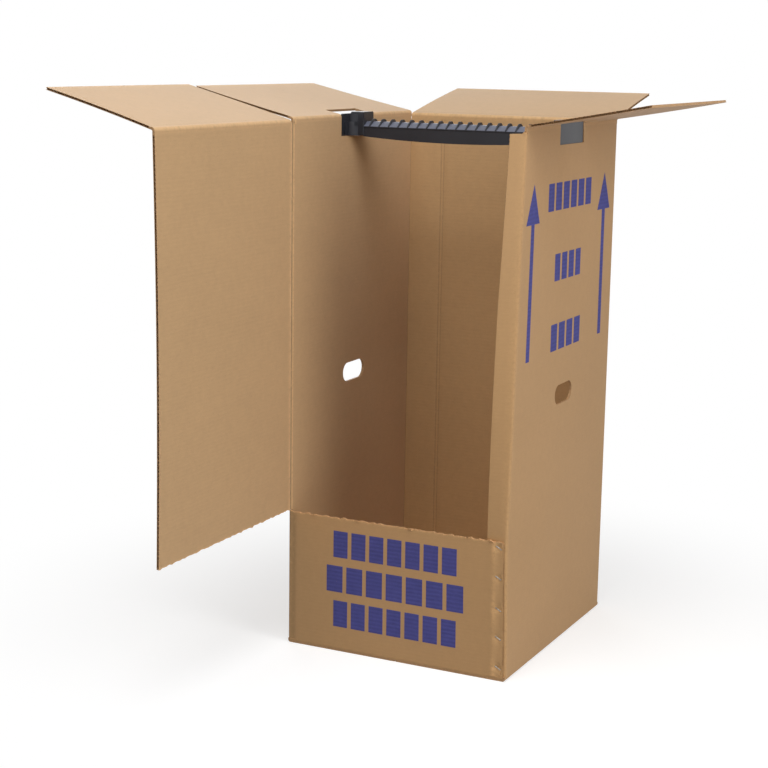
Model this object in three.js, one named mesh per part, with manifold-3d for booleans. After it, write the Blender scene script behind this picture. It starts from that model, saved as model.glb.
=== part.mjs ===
// Wardrobe moving box: a tall corrugated carton with a swing-open front, folded-back
// top flaps and a toothed plastic hanging rail that rests in cut-outs of the side walls.
// Millimetres, +Z up. The origin is the centre of the underside. The front faces -Y.

import * as THREE from "three";
import { mergeVertices } from "three/addons/utils/BufferGeometryUtils.js";
import Module from "manifold-3d";

const wasm = await Module();
wasm.setup();

// The board and the carton's outside sizes.
const board = 4.5;
const width = 457;
const depth = 510;
const height = 1010;
const frontPanelHeight = 265;
const cornerRadius = 4;

// Creases. Each panel is mitred at its fold and turns about the fold's outer edge.
const creaseGap = 0.25;
const layerGap = 0.3;

// Top flaps. Side flaps meet over the middle. The other two lie under them.
const flapSeam = 1.5;
const sideFlapInset = 3;
const baseFlapInset = 1;
const baseSeamShift = 4;
const sideFlapTaper = 20;
const innerFlapPlay = 0.7;
const backFlapTaper = 3;
const doorFlapTaper = 12.5;
const leftFlapRise = 13;
const rightFlapRise = 10;
const backFlapRise = 12;
const doorFlapRise = 15;

// The front door, torn free along a perforation above the fixed front panel.
const doorEdgeInset = 5;
const tearGap = 2.2;
const tearNibHeight = 1.2;
const tearNibWidth = 4;
const tearNibPitch = 38;

// The corner tab of the right wall, stitched behind the front panel, sprung above it.
const tabWidth = 33;
const tabSpring = 42;
const tabHeadroom = 0.6;
const tabSteps = 20;

// Hand holes.
const handHoleLength = 90;
const handHoleHeight = 38;
const handHoleLevel = 500;

// Cut-outs for the rail: through each side wall below the fold, and into the flap.
const railCutLength = 126;
const railCutDrop = 38;
const flapCutReach = 33;

// The hanging rail: an open-bottomed channel with a ridged, toothed top.
const railPlay = 2;
const railRecess = 1.3;
const railPlate = 2.9;
const railRise = 5;
const railHalfWidth = 20;
const railSkin = 3;
const railShoulder = 18;
const railRidge = 9;
const railRidgeHalf = 5;
const railBellyDrop = 8;
const railEndLength = 30;
const railEndHalfWidth = 22;
const railFlareReach = 26;
const railFlareSpread = 30;
const railFlareDrop = 1.4;
const toothCount = 19;
const toothPitch = 20.5;
const toothThickness = 3.5;
const toothHeight = 5;
const toothRidgeHalf = 4;
const toothProud = 0.6;

// Wire stitches through the front panel and the tab behind it.
const stitchCount = 5;
const stitchPitch = 57.6;
const stitchLowest = 25;
const stitchEdgeInset = 9.5;
const stitchCrown = 13;
const stitchLean = 38;
const stitchWireWidth = 2;
const stitchWireThickness = 0.8;
const stitchClinch = 5;
const stitchPlay = 0.3;
const stitchLift = 0.3;

// Print, as plain shapes in one ink. Each drop is measured down from the top of its panel.
const inkThickness = 0.4;
const arrowDrop = 106;
const arrowLength = 316;
const arrowHeadLength = 67;
const arrowHeadWidth = 67;
const arrowShaft = 17;
const arrowOffset = 190;
const sideBarDrop = 98;
const sideBarPitch = 131;
const sideBarHeight = 67;
const sideUpperLength = 228;
const sideMiddleLength = 146;
const sideLowerLength = 162;
const frontBarDrop = 26;
const frontBarPitch = 69;
const frontBarHeight = 52;
const frontUpperLength = 260;
const frontMiddleLength = 288;
const frontLowerLength = 258;

// Sizes that follow from the ones above.
const halfWidth = width / 2;
const halfDepth = depth / 2;
const sideFoldLevel = height;
const innerFoldLevel = height - board - layerGap;
const flapReach = halfWidth - flapSeam / 2;
const innerFlapHalf = halfWidth - board - innerFlapPlay;
const tabTop = innerFoldLevel - board - tabHeadroom;
const doorFarEdge = -halfDepth - (width - doorEdgeInset);
const railSeat = sideFoldLevel - railCutDrop;
const railEnd = halfWidth - railRecess;
const railTop = sideFoldLevel + railRise;
const railShoulderLevel = railSeat + railShoulder;
const railRidgeLevel = railShoulderLevel + railRidge;
const toothLevel = railRidgeLevel + toothHeight;
const arrowHigh = height - arrowDrop;
const arrowLow = arrowHigh - arrowLength;
const sideBars = [
  { name: "upper", length: sideUpperLength, high: height - sideBarDrop },
  { name: "middle", length: sideMiddleLength, high: height - sideBarDrop - sideBarPitch },
  { name: "lower", length: sideLowerLength, high: height - sideBarDrop - 2 * sideBarPitch },
];
const frontBarTop = frontPanelHeight - frontBarDrop;
const frontBars = [
  { name: "upper", length: frontUpperLength, high: frontBarTop },
  { name: "middle", length: frontMiddleLength, high: frontBarTop - frontBarPitch },
  { name: "lower", length: frontLowerLength, high: frontBarTop - 2 * frontBarPitch },
];
const beyond = 5;

const kraft = new THREE.MeshStandardMaterial({ color: 0xb58f65, roughness: 0.9, metalness: 0 });
const plastic = new THREE.MeshStandardMaterial({ color: 0x2b2b2f, roughness: 0.45, metalness: 0 });
const steel = new THREE.MeshStandardMaterial({ color: 0xa8a296, roughness: 0.4, metalness: 0.9 });
const ink = new THREE.MeshStandardMaterial({ color: 0x45418f, roughness: 0.8, metalness: 0 });

// Axes of a drawing plane: where its x, its y and its extrusion go.
const upFromPlan = new THREE.Matrix4();
const alongY = new THREE.Matrix4().makeBasis(
  new THREE.Vector3(1, 0, 0),
  new THREE.Vector3(0, 0, 1),
  new THREE.Vector3(0, -1, 0),
);
const alongX = new THREE.Matrix4().makeBasis(
  new THREE.Vector3(0, 1, 0),
  new THREE.Vector3(0, 0, 1),
  new THREE.Vector3(1, 0, 0),
);

function toSolid(geometry) {
  const bare = geometry.clone();
  for (const name of Object.keys(bare.attributes)) {
    if (name !== "position") bare.deleteAttribute(name);
  }
  const merged = mergeVertices(bare, 1e-4);
  return new wasm.Manifold(new wasm.Mesh({
    numProp: 3,
    vertProperties: new Float32Array(merged.attributes.position.array),
    triVerts: new Uint32Array(merged.index.array),
  }));
}

function toGeometry(solid) {
  const mesh = solid.getMesh();
  const geometry = new THREE.BufferGeometry();
  geometry.setAttribute("position", new THREE.BufferAttribute(mesh.vertProperties.slice(), 3));
  geometry.setIndex(new THREE.BufferAttribute(mesh.triVerts.slice(), 1));
  geometry.computeVertexNormals();
  return geometry;
}

function joined(solids) {
  return solids.reduce((sum, solid) => sum.add(solid));
}

function cutBy(solid, cutters) {
  return cutters.reduce((rest, cutter) => rest.subtract(cutter), solid);
}

function slab(x0, x1, y0, y1, z0, z1) {
  const geometry = new THREE.BoxGeometry(x1 - x0, y1 - y0, z1 - z0);
  geometry.translate((x0 + x1) / 2, (y0 + y1) / 2, (z0 + z1) / 2);
  return toSolid(geometry);
}

function polygon(points) {
  return new THREE.Shape(points.map(([x, y]) => new THREE.Vector2(x, y)));
}

function extruded(shape, axes, from, to, curveSegments = 6) {
  const geometry = new THREE.ExtrudeGeometry(shape, {
    depth: to - from,
    bevelEnabled: false,
    curveSegments,
  });
  geometry.translate(0, 0, from);
  geometry.applyMatrix4(axes);
  return toSolid(geometry);
}

// A drawing in x and y, raised from one level to another.
function fromPlan(shape, low, high) {
  return extruded(shape, upFromPlan, low, high);
}

// A drawing in x and z, run along y.
function fromFront(shape, y0, y1) {
  return extruded(shape, alongY, -y1, -y0);
}

// A drawing in y and z, run along x.
function fromSide(shape, x0, x1) {
  return extruded(shape, alongX, x0, x1);
}

function stadium(centreX, centreY, length, breadth) {
  const r = breadth / 2;
  const straight = length / 2 - r;
  const shape = new THREE.Shape();
  shape.moveTo(centreX - straight, centreY - r);
  shape.lineTo(centreX + straight, centreY - r);
  shape.absarc(centreX + straight, centreY, r, -Math.PI / 2, Math.PI / 2, false);
  shape.lineTo(centreX - straight, centreY + r);
  shape.absarc(centreX - straight, centreY, r, Math.PI / 2, Math.PI * 1.5, false);
  return shape;
}

// The four walls below the tear, with the tab lying behind the front panel.
function lowerRing() {
  const w = halfWidth;
  const d = halfDepth;
  const r = cornerRadius;
  const outer = new THREE.Shape();
  outer.moveTo(-w + r, -d);
  outer.lineTo(w - doorEdgeInset, -d);
  outer.lineTo(w - doorEdgeInset, -d + board);
  outer.lineTo(w - r, -d + board);
  outer.absarc(w - r, -d + board + r, r, -Math.PI / 2, 0, false);
  outer.lineTo(w, d - r);
  outer.absarc(w - r, d - r, r, 0, Math.PI / 2, false);
  outer.lineTo(-w + r, d);
  outer.absarc(-w + r, d - r, r, Math.PI / 2, Math.PI, false);
  outer.lineTo(-w, -d + r);
  outer.absarc(-w + r, -d + r, r, Math.PI, Math.PI * 1.5, false);
  const inner = new THREE.Path([
    new THREE.Vector2(-w + board, -d + board),
    new THREE.Vector2(w - board - tabWidth, -d + board),
    new THREE.Vector2(w - board - tabWidth, -d + 2 * board),
    new THREE.Vector2(w - board, -d + 2 * board),
    new THREE.Vector2(w - board, d - board),
    new THREE.Vector2(-w + board, d - board),
  ]);
  outer.holes.push(inner);
  return fromPlan(outer, 0, frontPanelHeight);
}

// The left, back and right walls above the tear. The left one ends in the door's crease.
function upperWalls() {
  const w = halfWidth;
  const d = halfDepth;
  const r = cornerRadius;
  const plan = new THREE.Shape();
  plan.moveTo(-w, -d + creaseGap);
  plan.lineTo(-w + board, -d + creaseGap + board);
  plan.lineTo(-w + board, d - board);
  plan.lineTo(w - board, d - board);
  plan.lineTo(w - board, -d + board);
  plan.lineTo(w - r, -d + board);
  plan.absarc(w - r, -d + board + r, r, -Math.PI / 2, 0, false);
  plan.lineTo(w, d - r);
  plan.absarc(w - r, d - r, r, 0, Math.PI / 2, false);
  plan.lineTo(-w + r, d);
  plan.absarc(-w + r, d - r, r, Math.PI / 2, Math.PI, false);
  return fromPlan(plan, frontPanelHeight, height);
}

// What the mitres at the top folds take away from the walls.
function foldCutters() {
  const w = halfWidth;
  const d = halfDepth;
  const sideEdge = sideFoldLevel - creaseGap;
  const backEdge = innerFoldLevel - creaseGap;
  const roof = polygon([
    [-w - beyond, sideEdge + beyond],
    [-w + board, sideEdge - board],
    [w - board, sideEdge - board],
    [w + beyond, sideEdge + beyond],
    [w + beyond, height + 2 * beyond],
    [-w - beyond, height + 2 * beyond],
  ]);
  const back = polygon([
    [d + beyond, backEdge + beyond],
    [d + beyond, height + 2 * beyond],
    [d - board - beyond, height + 2 * beyond],
    [d - board - beyond, backEdge - board],
    [d - board, backEdge - board],
  ]);
  return [fromFront(roof, -d - beyond, d + beyond), fromSide(back, -w + board, w - board)];
}

// The bottom flaps, folded shut: two side flaps outside, the front and back ones on them.
function closedBase() {
  const w = halfWidth;
  const d = halfDepth;
  const edge = d - baseFlapInset;
  const seam = baseSeamShift;
  return [
    slab(-w + board / 2, seam - flapSeam / 2, -edge, edge, 0, board),
    slab(seam + flapSeam / 2, w - board / 2, -edge, edge, 0, board),
    slab(-w + board, w - board, -d + board / 2, -d + flapReach, board, 2 * board),
    slab(-w + board, w - board, d - flapReach, d - board / 2, board, 2 * board),
  ];
}

// The front and back walls end one board higher, on the side flaps folded under them.
function baseCutters() {
  const w = halfWidth;
  const d = halfDepth;
  return [
    slab(-w + board, w - board, -d - beyond, -d + board, -beyond, board),
    slab(-w + board, w - board, d - board, d + beyond, -beyond, board),
  ];
}

// The tab's free length above the front panel, turning outwards as it rises.
function sprungTab() {
  const root = new THREE.Vector2(halfWidth - board / 2, -halfDepth + 1.5 * board);
  const length = tabWidth + board / 2;
  const low = frontPanelHeight - beyond;
  const positions = [];
  const index = [];
  for (let i = 0; i <= tabSteps; i += 1) {
    const z = low + ((tabTop - low) * i) / tabSteps;
    const share = Math.max(0, (z - frontPanelHeight) / (tabTop - frontPanelHeight));
    const turn = THREE.MathUtils.degToRad(tabSpring) * Math.sin((share * Math.PI) / 2);
    const run = new THREE.Vector2(-Math.cos(turn), -Math.sin(turn));
    const face = new THREE.Vector2(Math.sin(turn), -Math.cos(turn)).multiplyScalar(board / 2);
    const tip = root.clone().addScaledVector(run, length);
    for (const corner of [
      root.clone().add(face),
      root.clone().sub(face),
      tip.clone().sub(face),
      tip.clone().add(face),
    ]) {
      positions.push(corner.x, corner.y, z);
    }
    if (i > 0) {
      for (let k = 0; k < 4; k += 1) {
        const a = (i - 1) * 4 + k;
        const b = (i - 1) * 4 + ((k + 1) % 4);
        index.push(a, b, b + 4, a, b + 4, a + 4);
      }
    }
  }
  const top = tabSteps * 4;
  index.push(0, 2, 1, 0, 3, 2, top, top + 1, top + 2, top, top + 2, top + 3);
  const geometry = new THREE.BufferGeometry();
  geometry.setAttribute("position", new THREE.Float32BufferAttribute(positions, 3));
  geometry.setIndex(index);
  return toSolid(geometry);
}

// Stubs of the torn perforation along the top of the front panel.
function tearNibs() {
  const run = width - 2 * doorEdgeInset - tearNibPitch;
  const count = Math.floor(run / tearNibPitch);
  const nibs = [];
  for (let i = 0; i <= count; i += 1) {
    const x = -halfWidth + tearNibPitch * (i + 0.7);
    const low = frontPanelHeight - 1;
    const high = frontPanelHeight + tearNibHeight;
    const outline = polygon([
      [x - tearNibWidth / 2 - 0.8, low],
      [x + tearNibWidth / 2 + 0.8, low],
      [x + tearNibWidth / 2, high],
      [x - tearNibWidth / 2, high],
    ]);
    nibs.push(fromFront(outline, -halfDepth, -halfDepth + board));
  }
  return nibs;
}

function wallOpenings() {
  const w = halfWidth;
  const hole = stadium(0, handHoleLevel, handHoleLength, handHoleHeight);
  const cut = railCutLength / 2;
  return [
    fromSide(hole, -w - beyond, w + beyond),
    slab(-w - beyond, w + beyond, -cut, cut, railSeat, height + beyond),
  ];
}

// One wire stitch about its own middle: a crown in front, two legs, two clinched ends.
// The same path with play around the legs is cut out of the boards.
function stitchSolid(play) {
  const half = stitchCrown / 2;
  const wire = stitchWireWidth / 2 + play;
  const front = -halfDepth - stitchLift - stitchWireThickness;
  const back = -halfDepth + 2 * board + stitchLift + stitchWireThickness;
  const legs = [-1, 1].map((side) => {
    const a = side * half;
    const b = side * (half - stitchWireThickness);
    const x0 = Math.min(a, b) - play;
    const x1 = Math.max(a, b) + play;
    return slab(x0, x1, front, back, -wire, wire);
  });
  if (play > 0) return joined(legs);
  const crown = slab(-half, half, front, front + stitchWireThickness, -wire, wire);
  const ends = [-1, 1].map((side) => {
    const outer = side * half;
    const inner = side * (half - stitchClinch);
    return slab(
      Math.min(outer, inner),
      Math.max(outer, inner),
      back - stitchWireThickness,
      back,
      -wire,
      wire,
    );
  });
  return joined([crown, ...legs, ...ends]);
}

function placedStitch(index, play) {
  const lean = THREE.MathUtils.degToRad(stitchLean);
  const matrix = new THREE.Matrix4().makeRotationY(-lean);
  matrix.setPosition(
    halfWidth - doorEdgeInset - stitchEdgeInset,
    0,
    stitchLowest + stitchPitch * index,
  );
  const geometry = toGeometry(stitchSolid(play));
  geometry.applyMatrix4(matrix);
  return toSolid(geometry);
}

function stitchIndices() {
  return Array.from({ length: stitchCount }, (_, index) => index);
}

function cartonShell() {
  const upper = cutBy(upperWalls(), foldCutters());
  const lower = cutBy(lowerRing(), baseCutters());
  const whole = joined([lower, upper, sprungTab(), ...closedBase(), ...tearNibs()]);
  const cutters = wallOpenings().concat(stitchIndices().map((i) => placedStitch(i, stitchPlay)));
  return cutBy(whole, cutters);
}

// A flap in its own frame: x along its fold, y away from it, z from its outer face inwards.
function flap(halfLength, inset, startTaper, endTaper) {
  const root = halfLength - inset;
  const outline = polygon([
    [-root, 0],
    [root, 0],
    [root - endTaper, flapReach],
    [startTaper - root, flapReach],
  ]);
  const section = polygon([
    [creaseGap, 0],
    [flapReach + 1, 0],
    [flapReach + 1, board],
    [creaseGap + board, board],
  ]);
  return fromPlan(outline, 0, board).intersect(fromSide(section, -halfLength, halfLength));
}

// A side flap has a cut-out at its fold, so it closes over the raised end of the rail.
function sideFlap() {
  const cut = railCutLength / 2;
  return flap(halfDepth, sideFlapInset, sideFlapTaper, sideFlapTaper)
    .subtract(slab(-cut, cut, -beyond, flapCutReach, -beyond, board + beyond));
}

// The door, swung open until it stands in line with the left wall.
function frontDoor() {
  const w = halfWidth;
  const low = frontPanelHeight + tearGap;
  const crease = -halfDepth - creaseGap;
  const edge = innerFoldLevel - creaseGap;
  const section = polygon([
    [-w, low],
    [-w + board, low],
    [-w + board, edge - board],
    [-w, edge],
  ]);
  const plan = polygon([
    [-w, crease],
    [-w, doorFarEdge],
    [-w + board, doorFarEdge],
    [-w + board, crease - board],
  ]);
  return fromFront(section, doorFarEdge, crease).intersect(fromPlan(plan, low, edge));
}

// The channel: a ridged top and two skirts whose lower edge bellies down at mid span.
function railBeam() {
  const reach = railEnd - railPlate / 2;
  const clear = halfWidth - board - railPlay;
  const belly = railSeat - railBellyDrop;
  const side = new THREE.Shape();
  side.moveTo(-reach, railSeat);
  side.lineTo(-clear, railSeat);
  side.quadraticCurveTo(0, 2 * belly - railSeat, clear, railSeat);
  side.lineTo(reach, railSeat);
  side.lineTo(reach, railRidgeLevel);
  side.lineTo(-reach, railRidgeLevel);
  const house = polygon([
    [-railHalfWidth, belly - beyond],
    [railHalfWidth, belly - beyond],
    [railHalfWidth, railShoulderLevel],
    [railRidgeHalf, railRidgeLevel],
    [-railRidgeHalf, railRidgeLevel],
    [-railHalfWidth, railShoulderLevel],
  ]);
  const outside = extruded(side, alongY, -railHalfWidth, railHalfWidth, 16);
  return outside.intersect(fromSide(house, -reach, reach));
}

function railHollow() {
  const reach = railEnd - railEndLength;
  const inside = railHalfWidth - railSkin;
  const hollow = polygon([
    [-inside, railSeat - railBellyDrop - beyond],
    [inside, railSeat - railBellyDrop - beyond],
    [inside, railShoulderLevel - railSkin / 2],
    [railRidgeHalf, railRidgeLevel - railSkin],
    [-railRidgeHalf, railRidgeLevel - railSkin],
    [-inside, railShoulderLevel - railSkin / 2],
  ]);
  return fromSide(hollow, -reach, reach);
}

function railTeeth() {
  const foot = railHalfWidth + toothProud;
  const profile = polygon([
    [-foot, railShoulderLevel - 2],
    [foot, railShoulderLevel - 2],
    [foot, railShoulderLevel],
    [toothRidgeHalf, toothLevel],
    [-toothRidgeHalf, toothLevel],
    [-foot, railShoulderLevel],
  ]);
  const teeth = [];
  for (let i = 0; i < toothCount; i += 1) {
    const x = (i - (toothCount - 1) / 2) * toothPitch;
    teeth.push(fromSide(profile, x - toothThickness / 2, x + toothThickness / 2));
  }
  return teeth;
}

// One end of the rail: a plate in the wall's cut-out, a raised block and flared cheeks.
function railEndSolids(side) {
  const plateHalf = railCutLength / 2 - railPlay;
  const face = side * railEnd;
  const behind = side * (railEnd - railPlate);
  const block = side * (railEnd - railEndLength);
  const plate = slab(
    Math.min(face, behind),
    Math.max(face, behind),
    -plateHalf,
    plateHalf,
    railSeat,
    railTop,
  );
  const raised = slab(
    Math.min(block, face - side),
    Math.max(block, face - side),
    -railEndHalfWidth,
    railEndHalfWidth,
    railSeat,
    railTop,
  );
  const start = face - side * railPlate / 2;
  const tip = face - side * railFlareReach;
  const spread = railHalfWidth + railFlareSpread;
  const cheeks = new THREE.Shape();
  cheeks.moveTo(start, -spread);
  cheeks.quadraticCurveTo(start - side * 3, -railHalfWidth, tip, -railHalfWidth);
  cheeks.lineTo(tip, railHalfWidth);
  cheeks.quadraticCurveTo(start - side * 3, railHalfWidth, start, spread);
  const cheekTop = innerFoldLevel - board - railFlareDrop;
  return [plate, raised, fromPlan(cheeks, railSeat, cheekTop)];
}

function hangingRail() {
  const body = cutBy(joined([railBeam(), ...railTeeth()]), [railHollow()]);
  return joined([body, ...railEndSolids(-1), ...railEndSolids(1)]);
}

function arrowOutline(centre) {
  const neck = arrowHigh - arrowHeadLength;
  return polygon([
    [centre - arrowShaft / 2, arrowLow],
    [centre + arrowShaft / 2, arrowLow],
    [centre + arrowShaft / 2, neck],
    [centre + arrowHeadWidth / 2, neck],
    [centre, arrowHigh],
    [centre - arrowHeadWidth / 2, neck],
    [centre - arrowShaft / 2, neck],
  ]);
}

function barOutline(bar, barHeight) {
  return polygon([
    [-bar.length / 2, bar.high - barHeight],
    [bar.length / 2, bar.high - barHeight],
    [bar.length / 2, bar.high],
    [-bar.length / 2, bar.high],
  ]);
}

const box = new THREE.Group();
box.name = "wardrobe_moving_box";

function addPiece(parent, name, solid, material) {
  const mesh = new THREE.Mesh(toGeometry(solid), material);
  mesh.name = name;
  parent.add(mesh);
}

// A flap's mesh hangs in a group that stands on its fold and is turned to its rest angle.
function addFlap(name, solid, fold, heading, rise) {
  const turned = new THREE.Group();
  turned.position.set(...fold);
  turned.rotation.z = THREE.MathUtils.degToRad(heading);
  const lifted = new THREE.Group();
  lifted.rotation.x = THREE.MathUtils.degToRad(rise);
  turned.add(lifted);
  box.add(turned);
  addPiece(lifted, name, solid, kraft);
}

addPiece(box, "carton_shell", cartonShell(), kraft);
addPiece(box, "front_door", frontDoor(), kraft);
addPiece(box, "hanging_rail", hangingRail(), plastic);

addFlap("left_top_flap", sideFlap(), [-halfWidth, 0, sideFoldLevel], 90, leftFlapRise);
addFlap("right_top_flap", sideFlap(), [halfWidth, 0, sideFoldLevel], -90, rightFlapRise);
addFlap(
  "back_top_flap",
  flap(halfWidth, halfWidth - innerFlapHalf, backFlapTaper, backFlapTaper),
  [0, halfDepth, innerFoldLevel],
  0,
  backFlapRise,
);
// The door stops a little short of shut, so its flap narrows away from the right wall.
addFlap(
  "door_top_flap",
  flap(halfWidth, halfWidth - innerFlapHalf, doorFlapTaper, 0),
  [-halfWidth, -halfDepth - halfWidth, innerFoldLevel],
  90,
  doorFlapRise,
);

for (const index of stitchIndices()) {
  addPiece(box, `corner_stitch_${index + 1}`, placedStitch(index, 0), steel);
}

for (const [name, centre] of [["front", -arrowOffset], ["back", arrowOffset]]) {
  const arrow = fromSide(arrowOutline(centre), halfWidth, halfWidth + inkThickness);
  addPiece(box, `print_arrow_${name}`, arrow, ink);
}
for (const bar of sideBars) {
  const solid = fromSide(barOutline(bar, sideBarHeight), halfWidth, halfWidth + inkThickness);
  addPiece(box, `print_side_${bar.name}`, solid, ink);
}
for (const bar of frontBars) {
  const outline = barOutline(bar, frontBarHeight);
  const solid = fromFront(outline, -halfDepth - inkThickness, -halfDepth);
  addPiece(box, `print_front_${bar.name}`, solid, ink);
}

export default box;
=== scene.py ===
# %% [markdown]
# # A wardrobe moving box
#
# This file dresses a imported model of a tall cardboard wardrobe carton. The carton has a
# front that swings open, four top flaps, a toothed plastic rail for hangers, and a row of
# wire stitches at one corner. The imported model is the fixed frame: it says where every
# panel and hinge is. The cells below rebuild each panel as a real sheet of corrugated
# board, and they all keep the frame's places and sizes.

import math

import bmesh
import bpy
import numpy as np
from mathutils import Matrix, Vector


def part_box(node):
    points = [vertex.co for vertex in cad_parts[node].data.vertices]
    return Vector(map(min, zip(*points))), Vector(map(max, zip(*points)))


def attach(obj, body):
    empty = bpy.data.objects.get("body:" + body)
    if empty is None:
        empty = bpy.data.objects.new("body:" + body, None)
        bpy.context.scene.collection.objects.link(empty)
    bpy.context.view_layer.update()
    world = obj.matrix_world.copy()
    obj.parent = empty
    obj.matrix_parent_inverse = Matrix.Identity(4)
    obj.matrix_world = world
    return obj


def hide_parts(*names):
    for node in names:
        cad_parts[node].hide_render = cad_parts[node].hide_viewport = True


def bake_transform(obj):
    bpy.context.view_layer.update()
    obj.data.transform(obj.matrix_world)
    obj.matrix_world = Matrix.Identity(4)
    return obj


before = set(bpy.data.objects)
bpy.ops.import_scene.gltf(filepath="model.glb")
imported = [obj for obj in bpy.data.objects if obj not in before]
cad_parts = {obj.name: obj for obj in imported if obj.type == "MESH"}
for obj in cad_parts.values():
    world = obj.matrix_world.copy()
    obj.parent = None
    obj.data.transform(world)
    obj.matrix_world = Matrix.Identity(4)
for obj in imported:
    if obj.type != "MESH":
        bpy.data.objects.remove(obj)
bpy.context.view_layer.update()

# %% [markdown]
# ## Sizes
#
# A carton is designed as a drawing of its flat blank, in millimetres, so the same is done
# here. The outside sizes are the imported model's, and its shell is measured below to compare.
# The board's thickness and the creases' levels are what a carton maker would write on the
# drawing.

# %% The carton's measures, in millimetres
MM = 0.001
shell_low, shell_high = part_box("carton_shell")
HALF_WIDTH = 228.5
HALF_DEPTH = 255.0
BOARD = 4.5
SIDE_FOLD = 1010.0
INNER_FOLD = 1005.2
TEAR_LEVEL = 265.0
TEAR_GAP = 2.2
TEAR_BAND = 9.0
FLAP_REACH = 227.75
CREASE_HALF = 8.0
LEFT_START = 0.0
BACK_START = 2 * HALF_DEPTH
RIGHT_START = BACK_START + 2 * HALF_WIDTH
TAB_START = RIGHT_START + 2 * HALF_DEPTH - BOARD
TAB_END = TAB_START + 37.5
PANEL_END = -(2 * HALF_WIDTH - 5.0)
print("shell in the frame", [round(v / MM, 1) for v in (*shell_low, *shell_high)])

# %% [markdown]
# ## The blank's coordinates
#
# The whole carton is one flat sheet that is cut and then folded. Every piece of board
# below is first laid out flat, with u along the flutes, v across them and s through the
# thickness, from the printed outside at 0 to the inside at the board's thickness. The
# front panel lies at u below 0, then come the left wall, the back wall, the right wall
# and the stitched tab. Working flat makes it easy to cut holes, to keep the paper grain
# in one direction, and to know which faces are paper and which are cut edges.

# %% Lay out slabs in the flat blank
def stations(low, high, step, extra=()):
    """Grid lines from low to high about step apart, with the extra ones among them."""
    count = max(1, round((high - low) / step))
    lines = [*np.linspace(low, high, count + 1), *[e for e in extra if low < e < high]]
    kept = [low]
    for line in sorted(lines):
        if line - kept[-1] > 0.3:
            kept.append(float(line))
    kept[-1] = high
    return kept


def flat_slab(us, vs, keep=None, low=0.0, high=BOARD):
    """Points and faces of a slab over the grid cells for which keep(u, v) is true."""
    points, faces, found = [], [], {}

    def point(i, j, k):
        if (i, j, k) not in found:
            found[i, j, k] = len(points)
            points.append((us[i], vs[j], high if k else low))
        return found[i, j, k]

    cells = {
        (i, j)
        for i in range(len(us) - 1)
        for j in range(len(vs) - 1)
        if keep is None or keep((us[i] + us[i + 1]) / 2, (vs[j] + vs[j + 1]) / 2)
    }
    for i, j in sorted(cells):
        a, b, c, d = (i, j), (i + 1, j), (i + 1, j + 1), (i, j + 1)
        faces.append([point(*p, 1) for p in (a, b, c, d)])
        faces.append([point(*p, 0) for p in (d, c, b, a)])
        if (i - 1, j) not in cells:
            faces.append([point(*a, 0), point(*a, 1), point(*d, 1), point(*d, 0)])
        if (i + 1, j) not in cells:
            faces.append([point(*b, 0), point(*c, 0), point(*c, 1), point(*b, 1)])
        if (i, j - 1) not in cells:
            faces.append([point(*a, 0), point(*b, 0), point(*b, 1), point(*a, 1)])
        if (i, j + 1) not in cells:
            faces.append([point(*d, 0), point(*d, 1), point(*c, 1), point(*c, 0)])
    return points, faces


def gathered(parts):
    """Several sets of points and faces as one."""
    points, faces = [], []
    for more, their_faces in parts:
        start = len(points)
        points.extend(more)
        faces.extend([[start + k for k in face] for face in their_faces])
    return points, faces


print("a slab of one cell has", len(flat_slab([0, 1], [0, 1])[1]), "faces")

# %% [markdown]
# ## Open flutes along the cut ends
#
# Corrugated board is two flat liners with a wavy paper between them. Where a cut runs
# across the flutes, the waves can be seen from the side. A picture of waves would lie
# flat, so the last few millimetres of each such end are modelled as the three papers.

# %% Two liners and a wavy paper
FLUTE_PITCH = 7.6
LINER = 0.55
MEDIUM = 0.4
FLUTE_DEPTH = 4.0
WAVE_STEPS = 8


def fluted_end(edge_u, inward, v_low, v_high, step=14.0):
    """The last few millimetres of a board whose end lies at edge_u, as three papers."""
    ends = sorted((edge_u, edge_u + inward * FLUTE_DEPTH))
    lines = stations(v_low, v_high, step)
    outer = flat_slab(ends, lines, None, 0.0, LINER)
    inner = flat_slab(ends, lines, None, BOARD - LINER, BOARD)
    count = max(2, round((v_high - v_low) / FLUTE_PITCH * WAVE_STEPS))
    waves = np.linspace(v_low, v_high, count + 1)
    swing = (BOARD - 2 * LINER - MEDIUM) / 2
    setback = inward * 0.35
    u0, u1 = sorted((edge_u + setback, edge_u + inward * FLUTE_DEPTH))
    points, faces = [], []
    for k, v in enumerate(waves):
        middle = BOARD / 2 + swing * math.sin(2 * math.pi * v / FLUTE_PITCH)
        low, high = middle - MEDIUM / 2, middle + MEDIUM / 2
        points += [(u0, v, low), (u1, v, low), (u1, v, high), (u0, v, high)]
        if k:
            a, b = 4 * (k - 1), 4 * k
            faces.append([a, a + 1, b + 1, b][::-1])
            faces.append([a + 1, a + 2, b + 2, b + 1][::-1])
            faces.append([a + 2, a + 3, b + 3, b + 2][::-1])
            faces.append([a + 3, a, b, b + 3][::-1])
    last = 4 * count
    faces.append([0, 1, 2, 3])
    faces.append([last + 3, last + 2, last + 1, last])
    return [outer, inner], (points, faces)


print("flutes in 100 mm", round(100 / FLUTE_PITCH, 1))

# %% [markdown]
# ## Paper, and how it is coloured
#
# Kraft paper is never one brown. It has soft clouds, long fibres that follow the machine
# direction, small dark specks, and the faint washboard that the flutes press through it.
# These are made once, as a shader node group that reads the flat blank's coordinates, so
# the grain runs on from panel to panel as it does on the real sheet.

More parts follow.
